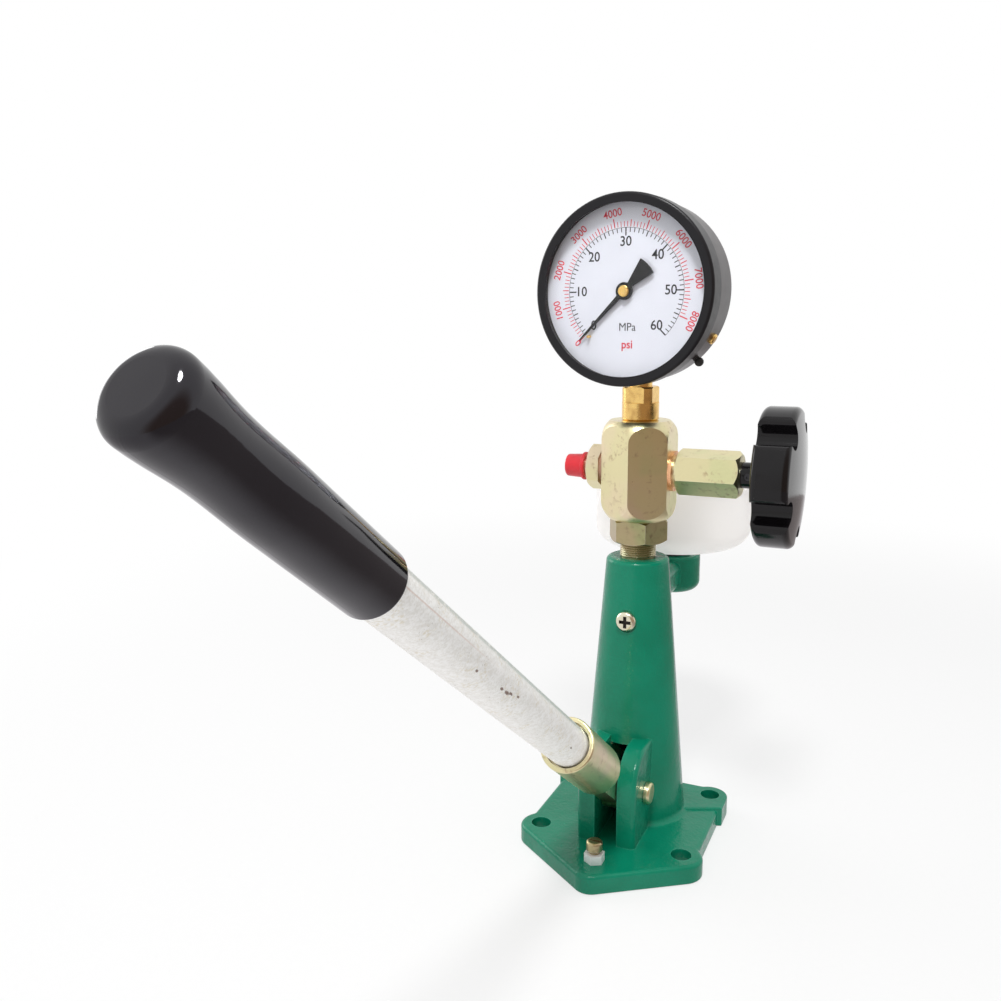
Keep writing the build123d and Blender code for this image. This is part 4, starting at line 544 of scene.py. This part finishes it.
for material, names in wardrobe.items():
    for name in names.split():
        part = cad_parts[name]
        for slot in part.material_slots:
            slot.material = material
        dressed.add(name)
print("dressed", len(dressed), "still bare:", sorted(set(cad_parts) - dressed))

# %% [markdown]
# ## The dial's own axes
# The scale is screen printed: a raised film of ink a few hundredths of a millimetre thick. It is
# easiest to model flat on the world's XY plane, round the origin. One matrix then stands it up and
# lays it on the dial, which looks a little to the left of straight ahead.

# %% Set up the dial's own axes
gauge_turn = radians(-5)
dial_right = Vector((cos(gauge_turn), sin(gauge_turn), 0))
dial_out = Vector((sin(gauge_turn), -cos(gauge_turn), 0))
dial_height, dial_depth, ink = 0.31815, 0.025, 0.00005
dial_place = Matrix((
    (dial_right.x, 0, dial_out.x, dial_out.x * dial_depth),
    (dial_right.y, 0, dial_out.y, dial_out.y * dial_depth),
    (0, 1, 0, dial_height),
    (0, 0, 0, 1)))
print("dial", dial_height, "up, ink", ink, "thick")

# %% [markdown]
# ## Two scales on one dial
# The black scale is in megapascals and the red one in pounds per square inch. Both turn with the
# same pointer, so the red steps aren't drawn by eye: they follow from the black sweep and from how
# many megapascals a thousand of the red units are.

# %% Work out the scales and mix the inks
scale_sweep, scale_start = 270, -135
full_scale_mpa, last_red_tenth = 60, 80
mpa_per_thousand_psi = 6.894757
psi_step = scale_sweep * mpa_per_thousand_psi / full_scale_mpa


def inked(name, low, high):
    return moulded(name, low, high, 0.002, 0.35, 0.1, 0.004)


def on_scale(radius, angle):
    """A point on the dial, its angle clockwise from straight up, in degrees."""
    return (radius * sin(radians(angle)), radius * cos(radians(angle)), 0)


black_ink = inked("black_ink", (0.010, 0.011, 0.014), (0.022, 0.023, 0.027))
red_ink = inked("red_ink", (0.56, 0.028, 0.05), (0.66, 0.04, 0.07))
print("a thousand psi turns the pointer", round(psi_step, 2), "degrees")

# %% [markdown]
# ## One printed mark
# A tick is a thin bar of ink with softened corners. An array modifier could repeat it round the
# dial, but the ticks come in three lengths with gaps between them, so one of each length is
# modelled and plain copies are turned to their own angles. They are then joined into one print.

# %% Helpers that model one printed mark
def one_mark(length, width, outward):
    """A tick along Y with softened corners, its foot on the origin."""
    bpy.ops.mesh.primitive_plane_add(size=1)
    mark = bpy.context.object
    bpy.ops.object.mode_set(mode="EDIT")
    bpy.ops.transform.resize(value=(width, length, 1))
    bpy.ops.transform.translate(value=(0, length / 2 * (1 if outward else -1), 0))
    bpy.ops.mesh.bevel(offset=width * 0.2, affect="VERTICES", segments=1)
    bpy.ops.mesh.extrude_region_move(TRANSFORM_OT_translate={"value": (0, 0, ink)})
    bpy.ops.mesh.select_all(action="SELECT")
    bpy.ops.mesh.normals_make_consistent(inside=False)
    bpy.ops.object.mode_set(mode="OBJECT")
    return mark


def copies_round(mark, radius, angles):
    """A copy of the mark at each angle, each with its own mesh. The mark itself is removed."""
    made = []
    for angle in angles:
        copy = mark.copy()
        copy.data = mark.data.copy()
        bpy.context.collection.objects.link(copy)
        copy.data.transform(Matrix.Translation(on_scale(radius, angle))
                            @ Matrix.Rotation(radians(-angle), 4, "Z"))
        made.append(copy)
    bpy.data.objects.remove(mark)
    return made


def printed(name, marks, material):
    """Joins flat marks into one print and lays it on the dial."""
    bpy.ops.object.select_all(action="DESELECT")
    for mark in marks:
        mark.select_set(True)
    bpy.context.view_layer.objects.active = marks[0]
    bpy.ops.object.join()
    print_layer = bpy.context.object
    print_layer.name = name
    print_layer.data.transform(dial_place)
    print_layer.data.materials.clear()
    print_layer.data.materials.append(material)
    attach(print_layer, "stand")
    bpy.ops.object.select_all(action="DESELECT")
    print(name, len(print_layer.data.polygons), "faces")


print("mark helpers ready")

# %% [markdown]
# ## Two rings of ticks
# The black ticks hang inward from their ring and the red ones stand outward on theirs. On both,
# every tenth tick is the longest and heaviest and every fifth is middling, so that the eye can
# count them. A longer tick takes the place of a shorter one, so that no two lie on each other.

# %% Model the two rings of ticks
def scale_angle(share):
    """The pointer's angle at that share of the black scale, in degrees."""
    return scale_start + scale_sweep * share


def ring_of_ticks(radius, bars, angles, outward):
    """A tick at each angle. Bars are the length and width of each tenth, each fifth and the rest."""
    marks = []
    for (length, width), step in zip(bars, (10, 5, 1)):
        wanted = [angle for n, angle in enumerate(angles) if n % step == 0
                  and not any(n % bigger == 0 for bigger in (10, 5) if bigger > step)]
        marks += copies_round(one_mark(length, width, outward), radius, wanted)
    return marks


black_ring, red_ring = 0.0328, 0.0332
black_marks = ring_of_ticks(
    black_ring, ((0.0042, 0.00070), (0.0030, 0.00056), (0.0024, 0.00046)),
    [scale_angle(n / full_scale_mpa) for n in range(full_scale_mpa + 1)], outward=False)
red_marks = ring_of_ticks(
    red_ring, ((0.0048, 0.00060), (0.0036, 0.00048), (0.0028, 0.00038)),
    [scale_start + psi_step * n / 10 for n in range(last_red_tenth + 1)], outward=True)
print(len(black_marks), "black ticks and", len(red_marks), "red ones")

# %% [markdown]
# ## The line that ties the ticks
# A hairline arc joins the black ticks' outer ends. A torus would be round in section, but ink is
# flat, so a small upright rectangle is spun round the dial's middle instead. The spin leaves its
# two ends open, and they are filled at the end.

# %% Draw the hairline and print both scales
hairline, arc_steps = 0.00022, 90


def thin_arc(radius, width, first, last):
    """An arc of ink: a small rectangle spun round the dial's middle."""
    bpy.ops.mesh.primitive_plane_add(size=1)
    arc = bpy.context.object
    bpy.ops.object.mode_set(mode="EDIT")
    bpy.ops.mesh.delete(type="ONLY_FACE")
    bpy.ops.object.mode_set(mode="OBJECT")
    for corner in arc.data.vertices:
        outward = 0.5 if corner.co.y > 0 else -0.5
        top = ink if corner.co.x > 0 else 0.0
        corner.co = (*on_scale(radius + outward * width, first)[:2], top)
    bpy.ops.object.mode_set(mode="EDIT")
    bpy.ops.mesh.select_all(action="SELECT")
    bpy.ops.mesh.spin(
        steps=arc_steps, angle=radians(last - first), center=(0, 0, 0), axis=(0, 0, 1))
    bpy.ops.mesh.select_all(action="SELECT")
    bpy.ops.mesh.remove_doubles(threshold=1e-7)
    bpy.ops.mesh.fill_holes(sides=4)
    bpy.ops.mesh.normals_make_consistent(inside=False)
    bpy.ops.object.mode_set(mode="OBJECT")
    return arc


black_marks.append(thin_arc(black_ring, hairline, scale_start, -scale_start))
printed("black_scale", black_marks, black_ink)
printed("red_scale", red_marks, red_ink)

# %% [markdown]
# ## Numerals
# Numerals could be drawn stroke by stroke, but Blender carries a plain font. The text is typed as
# a curve, given its thickness, made a mesh, and only then moved, so that its object ends up at the
# origin. The black numerals stand upright, and the red ones lean outward with the scale.

# %% Print the numerals
size_to_height = 1.38  # the font's size for numerals one unit high
numeral_width = 0.95


def number(text, height, place, lean=0.0, boldness=0.00008):
    bpy.ops.object.text_add()
    words = bpy.context.object
    words.data.offset = boldness
    words.data.body, words.data.size = text, height * size_to_height
    words.data.align_x, words.data.align_y = "CENTER", "CENTER"
    words.data.extrude, words.data.resolution_u = ink / 2, 4
    bpy.ops.object.convert(target="MESH")
    words = bpy.context.object
    words.data.transform(Matrix.Translation((*place[:2], ink / 2))
                         @ Matrix.Rotation(radians(-lean), 4, "Z")
                         @ Matrix.Diagonal((numeral_width, 1, 1, 1)))
    bpy.ops.object.mode_set(mode="EDIT")
    bpy.ops.mesh.select_all(action="SELECT")
    bpy.ops.mesh.remove_doubles(threshold=1e-6)
    bpy.ops.mesh.normals_make_consistent(inside=False)
    bpy.ops.object.mode_set(mode="OBJECT")
    return words


black_texts = [number(str(value), 0.0052, on_scale(0.0256, scale_angle(value / full_scale_mpa)))
               for value in range(0, full_scale_mpa + 1, 10)]
black_texts.append(number("MPa", 0.0044, (0.0015, -0.0190), boldness=0.0))
printed("black_numerals", black_texts, black_ink)

red_texts = []
for thousands in range(last_red_tenth // 10 + 1):
    angle = scale_start + psi_step * thousands
    radius = 0.0407 if thousands else 0.0385  # a lone 0 is narrow and sits closer in
    red_texts.append(number(str(thousands * 1000), 0.0041, on_scale(radius, angle), angle,
                            boldness=0.00005))
red_texts.append(number("psi", 0.0046, (0.0015, -0.0282)))
printed("red_numerals", red_texts, red_ink)

# %% [markdown]
# ## Winding a profile
# Threads and springs are the same thing to Blender: a closed profile beside an axis that climbs as
# it goes round. The Screw modifier winds it, and it is applied at once, because the two open ends
# can only be filled, and the faces turned outward, on the finished mesh.

# %% Helper that winds a profile
steps_per_turn = 40


def wound(profile, name, turns, rise, material):
    """Winds a closed profile round Z while it climbs by rise, and closes its two ends."""
    wind = profile.modifiers.new("wind", "SCREW")
    wind.angle, wind.screw_offset = 2 * pi * turns, rise
    wind.steps = wind.render_steps = round(steps_per_turn * turns)
    bpy.ops.object.modifier_apply(modifier="wind")
    bpy.ops.object.mode_set(mode="EDIT")
    bpy.ops.mesh.select_all(action="SELECT")
    bpy.ops.mesh.fill_holes(sides=12)
    bpy.ops.mesh.normals_make_consistent(inside=False)
    bpy.ops.object.mode_set(mode="OBJECT")
    bpy.ops.object.shade_smooth()
    profile.name = name
    profile.data.materials.append(material)
    print(name, "turns", round(turns, 1), "faces", len(profile.data.polygons))


print("winding helper ready,", steps_per_turn, "steps a turn")

# %% [markdown]
# ## Screw threads
# A cut thread is one ridge with a pointed top wound round a core. Rings stacked along the screw
# would look alike from afar, but a real thread climbs, and close up that shows. Only the stretch
# that is in sight gets a thread, laid over the CAD part's plain core: the rest is inside a nut.

# %% Wind the threads
sunk = 0.0001  # the ridge's foot is this far inside the core, so that no gap shows
triangle_height = 1.5
triangle_base = 1.8  # a little over its real width, so that two turns don't touch


def thread(name, core, depth, pitch, bottom, top, centre, body, material):
    """A thread along Z from bottom to top, over a core of that radius, all in metres."""
    turns = (top - bottom) / pitch - 1
    bpy.ops.mesh.primitive_circle_add(
        vertices=3, radius=1, location=(0, 0, 0), rotation=(0, 0, -pi / 2))
    ridge = bpy.context.object
    bpy.ops.object.transform_apply()
    bpy.ops.object.mode_set(mode="EDIT")
    bpy.ops.transform.resize(
        value=((depth + sunk) / triangle_height, pitch / triangle_base, 1), center_override=(0, 0, 0))
    bpy.ops.object.mode_set(mode="OBJECT")
    ridge_middle = core - sunk + (depth + sunk) / 3
    ridge.data.transform(Matrix.Translation((ridge_middle, 0, bottom + pitch / 2))
                         @ Matrix.Rotation(pi / 2, 4, "X"))
    wound(ridge, name, turns, pitch * turns, material)
    for face in ridge.data.polygons:
        face.use_smooth = False
    ridge.data.transform(Matrix.Translation(centre))
    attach(ridge, body)
    bpy.ops.object.select_all(action="DESELECT")


# Both threads wear the darker zinc, which is painted shade.
thread("nipple_thread", 0.0100, 0.0004, 0.0012, 0.1668, 0.1766, (0, 0, 0), "stand", painted_shade_zinc)
thread("stop_thread", 0.0030, 0.0003, 0.0010, 0.0158, 0.0182, (0, -0.072, 0), "stand", painted_shade_zinc)

# %% [markdown]
# ## The two springs
# The CAD model keeps a plain sleeve where each spring works. Here each becomes a coil of round
# wire inside that same sleeve, and it stands for the CAD node, which is hidden. A curve with a round
# bevel would give the same coil, but the winding helper is here already and closes the wire's ends.

# %% Coil the springs
def coil_spring(name, node, wire, pitch):
    """A coil of wire of that radius in the node's place."""
    low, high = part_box(node)
    length = high.z - low.z
    rise = length - 2 * wire
    bpy.ops.mesh.primitive_circle_add(
        vertices=12, radius=wire, location=(0, 0, 0), rotation=(pi / 2, 0, 0))
    coil = bpy.context.object
    bpy.ops.object.transform_apply()
    coil.data.transform(Matrix.Translation(((high.x - low.x) / 2 - wire, 0, low.z + wire)))
    wound(coil, name, rise / pitch, rise, ground_steel)
    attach(coil, "stand")
    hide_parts(node)
    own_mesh(coil)
    bpy.ops.object.select_all(action="DESELECT")


coil_spring("plunger_coil", "plunger_spring", 0.00096, 0.0048)
coil_spring("delivery_coil", "delivery_spring", 0.00043, 0.0019)
